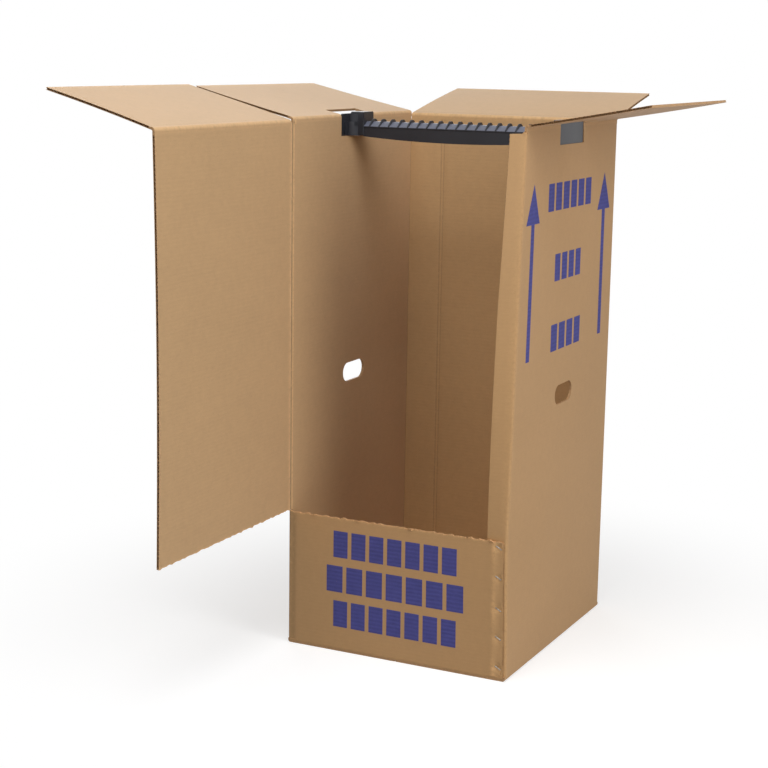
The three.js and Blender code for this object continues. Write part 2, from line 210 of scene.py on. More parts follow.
# %% Helpers for node trees
def group_tree(name, inputs, outputs):
    tree = bpy.data.node_groups.new(name, "ShaderNodeTree")
    for label, kind, value in inputs:
        socket = tree.interface.new_socket(label, in_out="INPUT", socket_type=kind)
        if value is not None:
            socket.default_value = value
    for label, kind in outputs:
        tree.interface.new_socket(label, in_out="OUTPUT", socket_type=kind)
    return tree, tree.nodes.new("NodeGroupInput"), tree.nodes.new("NodeGroupOutput")


def add(tree, kind, **settings):
    made = tree.nodes.new(kind)
    for key, value in settings.items():
        setattr(made, key, value)
    return made


def feed(tree, socket, value):
    """Links a socket to another one, or sets it to a plain value."""
    if isinstance(value, bpy.types.NodeSocket):
        tree.links.new(value, socket)
    else:
        socket.default_value = value


def calc(tree, operation, *values):
    made = add(tree, "ShaderNodeMath", operation=operation)
    for socket, value in zip(made.inputs, values):
        feed(tree, socket, value)
    return made.outputs[0]


def noise(tree, vector, stretch, detail=3.0, roughness=0.55):
    """A noise value from 0 to 1, with stretch as its cycles per metre in each direction."""
    scaled = add(tree, "ShaderNodeVectorMath", operation="MULTIPLY")
    feed(tree, scaled.inputs[0], vector)
    scaled.inputs[1].default_value = stretch
    made = add(tree, "ShaderNodeTexNoise")
    feed(tree, made.inputs["Vector"], scaled.outputs[0])
    made.inputs["Scale"].default_value = 1.0
    made.inputs["Detail"].default_value = detail
    made.inputs["Roughness"].default_value = roughness
    return made.outputs["Fac"]


def ramp(tree, value, low, high):
    made = add(tree, "ShaderNodeMapRange", clamp=True, interpolation_type="SMOOTHSTEP")
    feed(tree, made.inputs["Value"], value)
    made.inputs["From Min"].default_value = low
    made.inputs["From Max"].default_value = high
    return made.outputs["Result"]


def tinted(tree, colour, tone):
    """A colour made lighter or darker by a tone about 1."""
    made = add(tree, "ShaderNodeVectorMath", operation="SCALE")
    feed(tree, made.inputs[0], colour)
    feed(tree, made.inputs["Scale"], tone)
    return made.outputs[0]


def mixed(tree, share, a, b):
    made = add(tree, "ShaderNodeMix", data_type="RGBA")
    feed(tree, made.inputs[0], share)
    feed(tree, made.inputs[6], a)
    feed(tree, made.inputs[7], b)
    return made.outputs[2]


def srgb(red, green, blue):
    """A linear colour from the 0 to 255 numbers that a picture editor shows."""

    def line(v):
        v = v / 255
        return v / 12.92 if v <= 0.04045 else ((v + 0.055) / 1.055) ** 2.4

    return (line(red), line(green), line(blue), 1.0)


print("middle grey as a linear value", round(srgb(128, 128, 128)[0], 3))

# %% [markdown]
# The paper group takes the four effects one by one and adds them to a tone about 1, which
# then makes the paper's colour lighter or darker. It also gives a height, so that fibres
# and flutes catch the light.

# %% The paper group
def make_paper_group():
    tree, entry, leave = group_tree(
        "kraft_paper",
        [
            ("Sheet", "NodeSocketVector", None),
            ("Paper", "NodeSocketColor", (0.5, 0.35, 0.2, 1.0)),
            ("Clouds", "NodeSocketFloat", 0.1),
            ("Fibres", "NodeSocketFloat", 0.1),
            ("Specks", "NodeSocketFloat", 0.3),
            ("Washboard", "NodeSocketFloat", 0.03),
        ],
        [("Color", "NodeSocketColor"), ("Height", "NodeSocketFloat")],
    )
    sheet = entry.outputs["Sheet"]
    parts = add(tree, "ShaderNodeSeparateXYZ")
    tree.links.new(sheet, parts.inputs[0])
    clouds = calc(tree, "SUBTRACT", noise(tree, sheet, (5.0, 7.0, 4.0)), 0.5)
    fibres = calc(tree, "SUBTRACT", noise(tree, sheet, (90.0, 900.0, 90.0), 4.0, 0.65), 0.5)
    specks = ramp(tree, noise(tree, sheet, (650.0, 1500.0, 600.0), 1.0), 0.66, 0.76)
    wander = calc(tree, "MULTIPLY", noise(tree, sheet, (12.0, 9.0, 6.0), 1.0), 2.2)
    turns = calc(tree, "MULTIPLY", parts.outputs[1], 2 * math.pi / (FLUTE_PITCH * MM))
    waves = calc(tree, "SINE", calc(tree, "ADD", turns, wander))
    strength = noise(tree, sheet, (9.0, 15.0, 9.0), 2.0)
    waves = calc(tree, "MULTIPLY", waves, strength)
    mottle = calc(tree, "SUBTRACT", noise(tree, sheet, (75.0, 60.0, 40.0), 3.0, 0.6), 0.5)
    tone = calc(tree, "MULTIPLY_ADD", clouds, entry.outputs["Clouds"], 1.0)
    tone = calc(tree, "MULTIPLY_ADD", mottle, entry.outputs["Clouds"], tone)
    tone = calc(tree, "MULTIPLY_ADD", fibres, entry.outputs["Fibres"], tone)
    tone = calc(tree, "MULTIPLY_ADD", waves, entry.outputs["Washboard"], tone)
    dark = calc(tree, "MULTIPLY", specks, entry.outputs["Specks"])
    tone = calc(tree, "SUBTRACT", tone, dark)
    tree.links.new(tinted(tree, entry.outputs["Paper"], tone), leave.inputs["Color"])
    height = calc(tree, "MULTIPLY_ADD", fibres, 0.35, waves)
    tree.links.new(height, leave.inputs["Height"])
    return tree


paper_group = make_paper_group()
print("paper group nodes", len(paper_group.nodes))

# %% [markdown]
# Handling leaves marks: the paper goes pale and fuzzy where it is stretched over a
# crease or torn. The pale mark also paints highlights beside the stitches, and the dark
# mark is painted shade in the inside corners, score lines, creases and along the front
# left corner. The shape code stores how much of each a point has, as two attributes named
# pale and dark. The group below breaks both up with noise and mixes them into the paper's
# colour.

# %% The wear and painted light group
def make_wear_and_light_group():
    tree, entry, leave = group_tree(
        "wear_and_painted_light",
        [
            ("Sheet", "NodeSocketVector", None),
            ("Color", "NodeSocketColor", (0.5, 0.35, 0.2, 1.0)),
            ("Pale", "NodeSocketFloat", 0.0),
            ("Dark", "NodeSocketFloat", 0.0),
        ],
        [("Color", "NodeSocketColor")],
    )
    sheet = entry.outputs["Sheet"]
    # Pale: stretched and torn paper, plus painted highlights beside the stitches.
    broken = ramp(tree, noise(tree, sheet, (160.0, 160.0, 160.0), 4.0), 0.25, 0.6)
    pale = calc(tree, "MULTIPLY", entry.outputs["Pale"], broken)
    lighter = tinted(tree, entry.outputs["Color"], 1.42)
    colour = mixed(tree, pale, entry.outputs["Color"], lighter)
    # Dark: painted shade in corners, score lines and creases.
    patchy = ramp(tree, noise(tree, sheet, (120.0, 120.0, 120.0), 3.0), 0.15, 0.55)
    dark = calc(tree, "MULTIPLY", entry.outputs["Dark"], patchy)
    colour = mixed(tree, dark, colour, tinted(tree, colour, 0.4))
    tree.links.new(colour, leave.inputs["Color"])
    return tree


wear_and_light_group = make_wear_and_light_group()
print("wear group nodes", len(wear_and_light_group.nodes))

# %% [markdown]
# A board has four surfaces: the liner inside, the liner outside, which is a little darker,
# the cut edge, and the wavy paper. They could be four separate materials, but they are made
# by one function, and differ only in colour and in how strong each effect is. The inside
# liner's lighter colour is partly painted light, for light that bounces round inside the box.

# %% Materials of the board
def shader_material(name, roughness, metallic=0.0, specular=0.3):
    material = bpy.data.materials.new(name)
    material.use_nodes = True
    shader = material.node_tree.nodes["Principled BSDF"]
    shader.inputs["Roughness"].default_value = roughness
    shader.inputs["Metallic"].default_value = metallic
    shader.inputs["Specular IOR Level"].default_value = specular
    return material, material.node_tree, shader


def attribute(tree, name, output):
    made = add(tree, "ShaderNodeAttribute", attribute_name=name)
    return made.outputs[output]


def relief(tree, shader, height, distance, strength=1.0):
    bump = add(tree, "ShaderNodeBump")
    bump.inputs["Strength"].default_value = strength
    bump.inputs["Distance"].default_value = distance
    feed(tree, bump.inputs["Height"], height)
    tree.links.new(bump.outputs["Normal"], shader.inputs["Normal"])


def placed_paper(tree, sheet, colour, amounts):
    """The paper group placed in a material: amounts are clouds, fibres, specks, washboard."""
    paper = add(tree, "ShaderNodeGroup", node_tree=paper_group)
    tree.links.new(sheet, paper.inputs["Sheet"])
    paper.inputs["Paper"].default_value = colour
    for label, amount in zip(("Clouds", "Fibres", "Specks", "Washboard"), amounts):
        paper.inputs[label].default_value = amount
    return paper


def board_material(name, colour, amounts, bump, sheen):
    material, tree, shader = shader_material(name, 0.62, specular=0.3)
    shader.inputs["Sheen Weight"].default_value = sheen
    shader.inputs["Sheen Roughness"].default_value = 0.45
    sheet = attribute(tree, "sheet", "Vector")
    paper = placed_paper(tree, sheet, srgb(*colour), amounts)
    wear = add(tree, "ShaderNodeGroup", node_tree=wear_and_light_group)
    tree.links.new(sheet, wear.inputs["Sheet"])
    tree.links.new(paper.outputs["Color"], wear.inputs["Color"])
    tree.links.new(attribute(tree, "pale", "Fac"), wear.inputs["Pale"])
    tree.links.new(attribute(tree, "dark", "Fac"), wear.inputs["Dark"])
    tree.links.new(wear.outputs["Color"], shader.inputs["Base Color"])
    relief(tree, shader, paper.outputs["Height"], bump)
    return material


BOARD_LOOKS = (
    # name, colour, (clouds, fibres, specks, washboard), relief in metres, sheen
    # The inside liner is set lighter partly as painted light bounced inside the box.
    ("board_inside", (194, 157, 112), (0.12, 0.2, 0.3, 0.008), 0.00005, 0.32),
    ("board_outside", (184, 145, 100), (0.1, 0.17, 0.24, 0.006), 0.00005, 0.06),
    ("board_cut_edge", (176, 138, 98), (0.3, 0.6, 0.4, 0.0), 0.0006, 0.0),
    ("board_wavy_paper", (166, 128, 90), (0.3, 0.4, 0.3, 0.0), 0.0003, 0.0),
)
BOARD_MATERIALS = [board_material(*look) for look in BOARD_LOOKS]
INSIDE, OUTSIDE, CUT, WAVE = range(4)
print("board materials", [m.name for m in BOARD_MATERIALS])

# %% [markdown]
# ## From the flat blank to the folded carton
#
# A small set of functions bends the flat points into place. A sharp bend would look like
# folded metal, so each fold is an arc with a small radius on its inner side. The same
# rule serves the four vertical corners, the top folds, the bottom folds and the tab.

# %% The bend of a fold
def smooth(t):
    t = np.clip(t, 0.0, 1.0)
    return t * t * (3 - 2 * t)


def bend_out(h, s, turn, tangent=1.6):
    """A point h past an outward fold and s inside the outer face, as (outward, up)."""
    radius = tangent / np.tan(turn / 2)
    phi = turn * np.clip((h + tangent) / (2 * tangent), 0, 1)
    on_arc = np.abs(h) <= tangent
    before = h < -tangent
    out = np.where(before, 0.0, np.where(on_arc, radius - radius * np.cos(phi), h * np.sin(turn)))
    up = np.where(before, h, np.where(on_arc, radius * np.sin(phi) - tangent, h * np.cos(turn)))
    return out - s * np.cos(phi), up + s * np.sin(phi)


def bend_in(g, s, turn, radius=5.0):
    """A point g past an inward fold and s inside the outer face, as (inward, onward)."""
    tangent = radius * np.tan(turn / 2)
    phi = turn * np.clip((g + tangent) / (2 * tangent), 0, 1)
    on_arc = np.abs(g) <= tangent
    before = g < -tangent
    inward = np.where(before, 0.0, np.where(on_arc, radius - radius * np.cos(phi), g * np.sin(turn)))
    onward = np.where(before, g, np.where(on_arc, radius * np.sin(phi) - tangent, g * np.cos(turn)))
    return inward + s * np.cos(phi), onward - s * np.sin(phi)


turned = bend_in(10.0, 0.0, np.pi / 2)
print("10 mm past an upright corner:", [round(float(v), 2) for v in turned], "in and on")

# %% [markdown]
# Real board isn't perfectly flat. The door bows, the right wall leans out towards its
# front edge, and the flaps curl a little. These are small, slow functions of the blank's
# coordinates, and everything that lies on a panel, such as its print, uses the same ones.

# %% Slow warps of the panels
RIGHT_LEAN_TOP = 9.0
RIGHT_PULL_TEAR = -5.0
RIGHT_LEAN_START = 66.0
DOOR_BOW = 4.0
TAB_SPRING = 42.0
TAB_SPRING_TOP = 1000.1


def right_lean(u, v):
    """How far the right wall stands out, growing towards its front edge."""
    y = HALF_DEPTH - (u - RIGHT_START)
    forward = np.clip((-RIGHT_LEAN_START - y) / (HALF_DEPTH - RIGHT_LEAN_START), 0, 1.2) ** 1.4
    rise = np.clip((v - TEAR_LEVEL) / (SIDE_FOLD - TEAR_LEVEL), 0, 1)
    low = np.clip(v / TEAR_LEVEL, 0, 1)
    return forward * np.where(
        v > TEAR_LEVEL,
        RIGHT_PULL_TEAR + (RIGHT_LEAN_TOP - RIGHT_PULL_TEAR) * rise,
        RIGHT_PULL_TEAR * smooth(low),
    )


def door_bow(u, v):
    """How far the open door bends away from its plane, most at its free edge."""
    along = np.clip(-u / (2 * HALF_WIDTH), 0, 1) ** 1.6
    height = np.clip((v - TEAR_LEVEL) / (INNER_FOLD - TEAR_LEVEL), 0, 1)
    return DOOR_BOW * along * np.sin(np.pi * height)


def tab_spring(v):
    """The angle by which the stitched tab springs open above the front panel."""
    share = np.clip((v - TEAR_LEVEL) / (TAB_SPRING_TOP - TEAR_LEVEL), 0, 1)
    return math.radians(TAB_SPRING) * np.sin(share * np.pi / 2)


top_lean = right_lean(np.array([TAB_START]), np.array([SIDE_FOLD]))[0]
print("the right wall stands out at its top corner by", round(float(top_lean), 1), "mm")

# %% [markdown]
# The walls turn inward at four corners, one after the other. A point knows from its u
# which wall it is on, and so which corner bends it. The free end of the front panel is
# pulled along by the leaning right wall, to which it is stitched.

# %% The walls, wrapped round four corners
PULL_START = 150.0
PULL_SPAN = 300.0


def fold_walls(p):
    """Flat points of the front panel, the walls and the tab, folded into the carton."""
    u, v, s = p[:, 0], p[:, 1], p[:, 2]
    quarter = np.pi / 2
    corner1 = bend_in(u - LEFT_START, s, quarter)
    corner2 = bend_in(u - BACK_START, s, quarter)
    corner3 = bend_in(u - RIGHT_START, s, quarter)
    turn = quarter - tab_spring(v)
    corner4 = bend_in(u - TAB_START, s, turn, 4.6)
    w, d = HALF_WIDTH, HALF_DEPTH
    x = np.where(u < HALF_DEPTH, -w - corner1[1], 0.0)
    y = np.where(u < HALF_DEPTH, -d + corner1[0], 0.0)
    is_back = (u >= HALF_DEPTH) & (u < BACK_START + HALF_WIDTH)
    x = np.where(is_back, -w + corner2[0], x)
    y = np.where(is_back, d + corner2[1], y)
    is_right = (u >= BACK_START + HALF_WIDTH) & (u < RIGHT_START + HALF_DEPTH)
    x = np.where(is_right, w + corner3[1], x)
    y = np.where(is_right, d - corner3[0], y)
    is_front = u >= RIGHT_START + HALF_DEPTH
    x = np.where(is_front, w - corner4[0], x)
    y = np.where(is_front, -d + BOARD - corner4[1], y)
    x = x + np.where(u > RIGHT_START, right_lean(u, v), 0.0)
    pulled = np.clip((-u - PULL_START) / PULL_SPAN, 0, 1)
    x = x + np.where(u < 0, pulled * right_lean(np.full_like(u, TAB_START), v), 0.0)
    return np.stack([x, y, v], 1)


def fold_door(p):
    """Flat points of the door, which stands open in line with the left wall."""
    u, v, s = p[:, 0], p[:, 1], p[:, 2]
    x = -HALF_WIDTH + s + door_bow(u, v)
    return np.stack([x, -HALF_DEPTH + u, v], 1)


print("start of the left wall", fold_walls(np.array([[8.0, 0.0, 0.0]]))[0].round(1))

# %% [markdown]
# The top flaps turn outward, each by its own angle, given here as the degrees by which it
# still rises above level. The side flaps fold about a board's thickness higher than the
# other two, so that the closed flaps lie on each other. The base flaps turn inward by 90
# degrees.

# %% The top folds and flaps
FLAPS = {
    "left": {"fold": SIDE_FOLD, "rise": 13.0},
    "right": {"fold": SIDE_FOLD, "rise": 10.0},
    "back": {"fold": INNER_FOLD, "rise": 12.0},
    "door": {"fold": INNER_FOLD, "rise": 15.0},
}
DOOR_FLAP_WAVE = 0.9
BASE_STEP = 2.0


def flap_folder(side, curl=0.0):
    """A function that folds flat points over the top fold of one side."""
    fold = FLAPS[side]["fold"]
    turn = math.radians(90 - FLAPS[side]["rise"])

    def fold_over(p):
        u, v, s = p[:, 0], p[:, 1], p[:, 2]
        out, up = bend_out(v - fold, s, turn)
        share = np.clip((v - fold) / FLAP_REACH, 0, 1)
        up = up + curl * np.sin(np.pi * share)
        if side == "door":
            towards_end = np.clip(-u / (2 * HALF_WIDTH), 0, 1) ** 3
            up = up + DOOR_FLAP_WAVE * np.sin(np.pi * share) * towards_end
        if side in ("left", "door"):
            return np.stack([-HALF_WIDTH - out, -HALF_DEPTH + u, fold + up], 1)
        if side == "back":
            return np.stack([-HALF_WIDTH + u - BACK_START, HALF_DEPTH + out, fold + up], 1)
        lean = right_lean(u, np.full_like(u, SIDE_FOLD)) * (1 - share)
        return np.stack([HALF_WIDTH + out + lean, HALF_DEPTH - (u - RIGHT_START), fold + up], 1)

    return fold_over


def fold_base(side):
    """A function that folds flat points under the carton, with v below 0 in the base."""

    def fold_under(p):
        u, v, s = p[:, 0], p[:, 1], p[:, 2]
        level = 0.0 if side in ("left", "right") else BASE_STEP
        inward, down = bend_in(-(v - level), s, np.pi / 2, 4.6)
        up = level - down
        if side == "left":
            return np.stack([-HALF_WIDTH + inward, -HALF_DEPTH + u, up], 1)
        if side == "back":
            return np.stack([-HALF_WIDTH + u - BACK_START, HALF_DEPTH - inward, up], 1)
        if side == "right":
            return np.stack([HALF_WIDTH - inward, HALF_DEPTH - (u - RIGHT_START), up], 1)
        return np.stack([-HALF_WIDTH - u, -HALF_DEPTH + inward, up], 1)

    return fold_under


print("degrees above level", {side: plan["rise"] for side, plan in FLAPS.items()})

# %% [markdown]
# ## From points to a finished piece
#
# One helper turns flat points and faces into a Blender object. It cuts any holes while
# the board is still flat, notes the flat coordinates for the paper's grain, decides from
# the flat face which paper it is, stores the wear and the painted light and shade, and
# only then folds the points.

# %% Make a piece of board
def mesh_object(name, points, faces):
    mesh = bpy.data.meshes.new(name)
    mesh.from_pydata([tuple(p) for p in points], [], faces)
    mesh.validate()
    made = bpy.data.objects.new(name, mesh)
    bpy.context.scene.collection.objects.link(made)
    return made


def cut_holes(board, cutters):
    """Cuts closed shapes out of a board while it lies flat."""
    for cutter in cutters:
        modifier = board.modifiers.new("hole", "BOOLEAN")
        modifier.operation = "DIFFERENCE"
        modifier.solver = "EXACT"
        modifier.object = cutter
        bpy.context.view_layer.update()
        graph = bpy.context.evaluated_depsgraph_get()
        cut = bpy.data.meshes.new_from_object(board.evaluated_get(graph))
        board.modifiers.remove(modifier)
        board.data = cut
        bpy.data.objects.remove(cutter)


def store(mesh, name, values, kind="FLOAT"):
    made = mesh.attributes.new(name, kind, "POINT")
    field = "vector" if kind == "FLOAT_VECTOR" else "value"
    made.data.foreach_set(field, np.asarray(values, np.float32).ravel())


def finish_mesh(made, angle=35.0):
    made.data.shade_smooth()
    made.data.set_sharp_from_angle(angle=math.radians(angle))


def board_piece(name, solid, fold, waves=(), holes=(), marks=None, shift=None):
    """A piece of board: cut flat, marked, folded and given its papers."""
    made = mesh_object(name, *solid)
    if holes:
        cut_holes(made, holes)
    plain = len(made.data.polygons)
    if waves:
        extra = mesh_object("waves", *gathered(waves))
        sheet_mesh = bmesh.new()
        sheet_mesh.from_mesh(made.data)
        sheet_mesh.from_mesh(extra.data)
        sheet_mesh.to_mesh(made.data)
        sheet_mesh.free()
        bpy.data.objects.remove(extra)
    mesh = made.data
    co = np.zeros(len(mesh.vertices) * 3)
    mesh.vertices.foreach_get("co", co)
    flat = co.reshape(-1, 3)
    normals = np.zeros(len(mesh.polygons) * 3)
    mesh.polygons.foreach_get("normal", normals)
    through = normals.reshape(-1, 3)[:, 2]
    kinds = np.where(through > 0.7, INSIDE, np.where(through < -0.7, OUTSIDE, CUT))
    kinds[plain:] = WAVE
    mesh.materials.clear()
    for material in BOARD_MATERIALS:
        mesh.materials.append(material)
    mesh.polygons.foreach_set("material_index", kinds.astype(np.int32))
    store(mesh, "sheet", flat * MM, "FLOAT_VECTOR")
    pale, dark = marks(flat) if marks else (np.zeros(len(flat)), np.zeros(len(flat)))
    store(mesh, "pale", pale)
    store(mesh, "dark", dark)
    if shift is not None:
        flat = shift(flat)
    folded = fold(flat) * MM
    mesh.vertices.foreach_set("co", folded.ravel())
    mesh.update()
    finish_mesh(made)
    print(name, len(mesh.polygons), "faces")
    return made


def slotted_prism(name, centre_u, centre_v, length, breadth):
    """A rounded slot through the board, as a cutter in the flat blank."""
    r = breadth / 2
    straight = length / 2 - r
    outline = []
    for k in range(49):
        a = -math.pi / 2 + 2 * math.pi * k / 48
        side = straight if math.cos(a) > 0 else -straight
        outline.append((centre_u + side + r * math.cos(a), centre_v + r * math.sin(a)))
    outline = list(dict.fromkeys(outline))
    n = len(outline)
    points = [(u, v, s) for s in (-3.0, BOARD + 3.0) for u, v in outline]
    faces = [list(range(n))[::-1], list(range(n, 2 * n))]
    faces += [[k, (k + 1) % n, n + (k + 1) % n, n + k] for k in range(n)]
    return mesh_object(name, points, faces)


# %% [markdown]
# ## The walls
#
# The front panel, the left, back and right walls and the stitched tab are one piece of
# board that wraps all the way round. It is built from one grid, finer at the creases.
# The slot for each end of the rail is left out of the grid, and the two hand holes are
# cut with a boolean, because their ends are round.

# %% Tear line and creases
def tear(u, seed):
    """A small ragged wander along a torn edge, in millimetres."""
    a = 0.5 * np.sin(u * 0.31 + seed) + 0.35 * np.sin(u * 0.83 + 2.1 * seed)
    b = 0.3 * np.sin(u * 1.7 + 0.7 * seed) + 0.2 * np.sin(u * 2.9 + 1.3 * seed)
    stub = np.exp(-(((u - 11.0 * seed) % 38.0 - 19.0) / 2.6) ** 2)
    return a + b + 1.9 * stub


wander = tear(np.linspace(-2 * HALF_WIDTH, 0, 400), 1.3)
print("the tear wanders over", round(float(np.ptp(wander)), 1), "mm")


def torn_top(flat):
    """Roughens the front panel's upper edge."""
    share = smooth((flat[:, 1] - (TEAR_LEVEL - TEAR_BAND)) / TEAR_BAND)
    lower = flat[:, 0] < 0
    moved = flat.copy()
    moved[:, 1] += np.where(lower, share * (tear(flat[:, 0], 1.3) - 0.9), 0.0)
    return moved


def near(values, place, width):
    return np.exp(-((values - place) / width) ** 2)


STITCH_INSET = 14.5
STITCH_U = -2 * HALF_WIDTH + STITCH_INSET
STITCH_LEVELS = [25.0, 82.2, 137.0, 196.8, 253.6]
DIMPLE_REACH_U = 8.5
DIMPLE_REACH_V = 6.5
DIMPLE_DEPTH = 2.6


def dimples(u, v):
    """How much the board is pulled in round each stitch, from 0 to 1."""
    across = near(u, STITCH_U, DIMPLE_REACH_U)
    return sum(across * near(v, level, DIMPLE_REACH_V) for level in STITCH_LEVELS)


BACK_SCORE = BACK_START + 78.5
SCORE_GAP = 3.2
TAB_NARROWING = 5.0
NARROWING_START = 700.0
NARROWING_SPAN = 300.0


def wall_marks(flat):
    u, v = flat[:, 0], flat[:, 1]
    inner = flat[:, 2] > BOARD / 2
    panel = (v < TEAR_LEVEL) & ~inner
    pale = 0.35 * near(u, TAB_START, 7.0) + 0.3 * near(u, LEFT_START, 3.0) * (v < TEAR_LEVEL)
    pale = pale + np.where(u < 0, 0.9 * smooth((v - TEAR_LEVEL + 3.5) / 4), 0.0)
    # Painted highlight: a pale ridge beside the stitches and pale dimples round them, where the pressed
    # board catches the light.
    ridge_highlight = 0.75 * near(u, STITCH_U + 9.5, 4.5) * (0.6 + 0.4 * np.sin(v * 0.05 + 1.0))
    pale = pale + np.where(u < 0, dimples(u, v) + ridge_highlight, 0.0)
    # Painted shade: dark lines down the inside corners at both ends of the back wall.
    dark = 0.9 * np.where(inner, near(u, BACK_START, 2.2) + near(u, RIGHT_START, 2.2), 0.0)
    # Painted shade: darker along the back wall's two score lines, and in a band on the front panel's
    # outside beside its left corner.
    scores = near(u, BACK_SCORE - SCORE_GAP, 1.1) + near(u, BACK_SCORE + SCORE_GAP, 1.1)
    corner_band_shade = smooth((u + 17.5) / 3.0) * smooth((1.0 - u) / 3.0)
    dark = dark + 0.4 * scores + 0.3 * corner_band_shade * panel
    return np.clip(pale, 0, 1), np.clip(dark, 0, 1)


def wall_shape(flat):
    """Pressed-in score lines and the ragged tear, while the board is flat."""
    moved = torn_top(flat)
    u, inner = flat[:, 0], flat[:, 2] > BOARD / 2
    scores = near(u, BACK_SCORE - SCORE_GAP, 1.2) + near(u, BACK_SCORE + SCORE_GAP, 1.2)
    moved[:, 2] -= np.where(inner, 0.5 * scores, 0.0)
    moved[:, 2] += np.where(inner, 0.0, DIMPLE_DEPTH * dimples(u, flat[:, 1]))
    ripple = 0.5 * np.sin(flat[:, 1] * 0.11) + 0.35 * np.sin(flat[:, 1] * 0.27 + 1.0)
    moved[:, 2] += smooth((STITCH_U + 7.0 - u) / 9.0) * np.where(inner, 0.0, 1.0 + ripple)
    moved[:, 2] -= near(u, STITCH_U + 11.0, 4.0) * np.where(inner, 0.0, 0.7)
    moved[:, 2] += near(u, -9.0, 7.0) * np.where(inner | (u > 0), 0.0, 0.9)
    past = np.clip((u - TAB_START) / (TAB_END - TAB_START), 0, 1)
    upward = np.clip((flat[:, 1] - NARROWING_START) / NARROWING_SPAN, 0, 1)
    moved[:, 0] -= TAB_NARROWING * past * upward
    return moved


# %% [markdown]
# The grid's lines stand close together where the board bends, at the stitches and along
# the torn edge, and far apart elsewhere. Cells above the tear and in the rail's slots are
# left out.

# %% Build the walls
WALL_TOP = SIDE_FOLD - CREASE_HALF
TAB_TOP = 999.4
CUT_HALF = 63.0
SEAT = 972.0
HAND_HOLE_LEVEL = 500.0
HAND_HOLE_SIZE = (90.0, 38.0)
LEFT_MIDDLE = LEFT_START + HALF_DEPTH
RIGHT_MIDDLE = RIGHT_START + HALF_DEPTH
CORNER_REACH = 5.5
CORNER_STEPS = 6


def corner_lines(centre):
    return [centre + CORNER_REACH * k / CORNER_STEPS for k in range(-CORNER_STEPS, CORNER_STEPS + 1)]


wall_us = stations(
    PANEL_END + FLUTE_DEPTH,
    TAB_END - FLUTE_DEPTH,
    15.0,
    [
        *[k for c in (LEFT_START, BACK_START, RIGHT_START, TAB_START) for k in corner_lines(c)],
        LEFT_MIDDLE - CUT_HALF,
        LEFT_MIDDLE + CUT_HALF,
        RIGHT_MIDDLE - CUT_HALF,
        RIGHT_MIDDLE + CUT_HALF,
        *[BACK_SCORE + side * k for k in (0, 1.2, 2.2, 3.2, 4.2, 5.2) for side in (-1, 1)],
        *np.arange(PANEL_END + FLUTE_DEPTH, 0, 3.0),
        -CREASE_HALF,
        CREASE_HALF,
    ],
)


def wall_keep(u, v):
    if u < CREASE_HALF and v > TEAR_LEVEL:
        return False
    if u > TAB_START + 4 and v > TAB_TOP:
        return False
    cut = min(abs(u - LEFT_MIDDLE), abs(u - RIGHT_MIDDLE)) < CUT_HALF
    if cut and v > SEAT:
        return False
    back = BACK_START - 2 < u < RIGHT_START + 2
    return not (back and v > INNER_FOLD - CREASE_HALF)


wall_vs = stations(
    CREASE_HALF,
    WALL_TOP,
    18.0,
    [
        TEAR_LEVEL - TEAR_BAND,
        TEAR_LEVEL - 4,
        TEAR_LEVEL,
        TAB_TOP,
        SEAT,
        INNER_FOLD - CREASE_HALF,
        *[level + side * k for level in STITCH_LEVELS for k in (0, 2.5, 5, 8, 12) for side in (-1, 1)],
    ],
)
panel_liners, panel_waves = fluted_end(PANEL_END, 1, CREASE_HALF, TEAR_LEVEL)
tab_liners, tab_waves = fluted_end(TAB_END, -1, CREASE_HALF, TAB_TOP)
walls = board_piece(
    "carton_walls",
    gathered([flat_slab(wall_us, wall_vs, wall_keep), *panel_liners, *tab_liners]),
    fold_walls,
    waves=[panel_waves, tab_waves],
    holes=[
        slotted_prism("hole_left", LEFT_MIDDLE, HAND_HOLE_LEVEL, *HAND_HOLE_SIZE),
        slotted_prism("hole_right", RIGHT_MIDDLE, HAND_HOLE_LEVEL, *HAND_HOLE_SIZE),
    ],
    marks=wall_marks,
    shift=wall_shape,
)
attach(walls, "carton")
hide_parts("carton_shell")

# %% [markdown]
# ## The closed base
#
# The base is four more flaps of the same sheet, folded under the carton. The two side
# ones are outside and meet near the middle, and the front and back ones lie on them. A
# plain plate would look the same from above, but the steps between the flaps show from
# below and at the lower edges.

# %% Build the base
BASE_SEAM = 4.0
BASE_INSET = 1.0


def base_flap(side, u_low, u_high, reach):
    level = 0.0 if side in ("left", "right") else BASE_STEP
    lines = [level + k for k in (-6, -4.5, -3, -1.5, 0, 1.5, 3, 4.5, 6)]
    vs = stations(level - reach, CREASE_HALF, 30.0, lines)
    us = stations(u_low, u_high, 30.0)
    made = board_piece(f"base_flap_{side}", flat_slab(us, vs), fold_base(side))
    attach(made, "carton")
    return made


base_flap("left", BASE_INSET, BACK_START - BASE_INSET, HALF_WIDTH + BASE_SEAM - 1.0)
base_flap(
    "right", RIGHT_START + BASE_INSET, TAB_START + BOARD - BASE_INSET, HALF_WIDTH - BASE_SEAM - 1.0
)
base_flap("back", BACK_START + BOARD, RIGHT_START - BOARD, FLAP_REACH)
base_flap("front", -2 * HALF_WIDTH + BOARD, -BOARD, FLAP_REACH)

# %% [markdown]
# ## The door
#
# The front of the carton is torn free along a perforation and swings open like a door.
# Its lower edge is ragged, and its free edge shows the open flutes. It moves, so it is a
# piece of its own, but it keeps its place on the blank, and so the grain runs on.

# %% Build the door
DOOR_LOW = TEAR_LEVEL + TEAR_GAP
DOOR_TOP = INNER_FOLD - CREASE_HALF


def torn_bottom(flat):
    """Roughens the door's lower edge."""
    share = smooth((DOOR_LOW + TEAR_BAND - flat[:, 1]) / TEAR_BAND)
    moved = flat.copy()
    moved[:, 1] -= share * (tear(flat[:, 0], 2.4) - 1.2)
    return moved


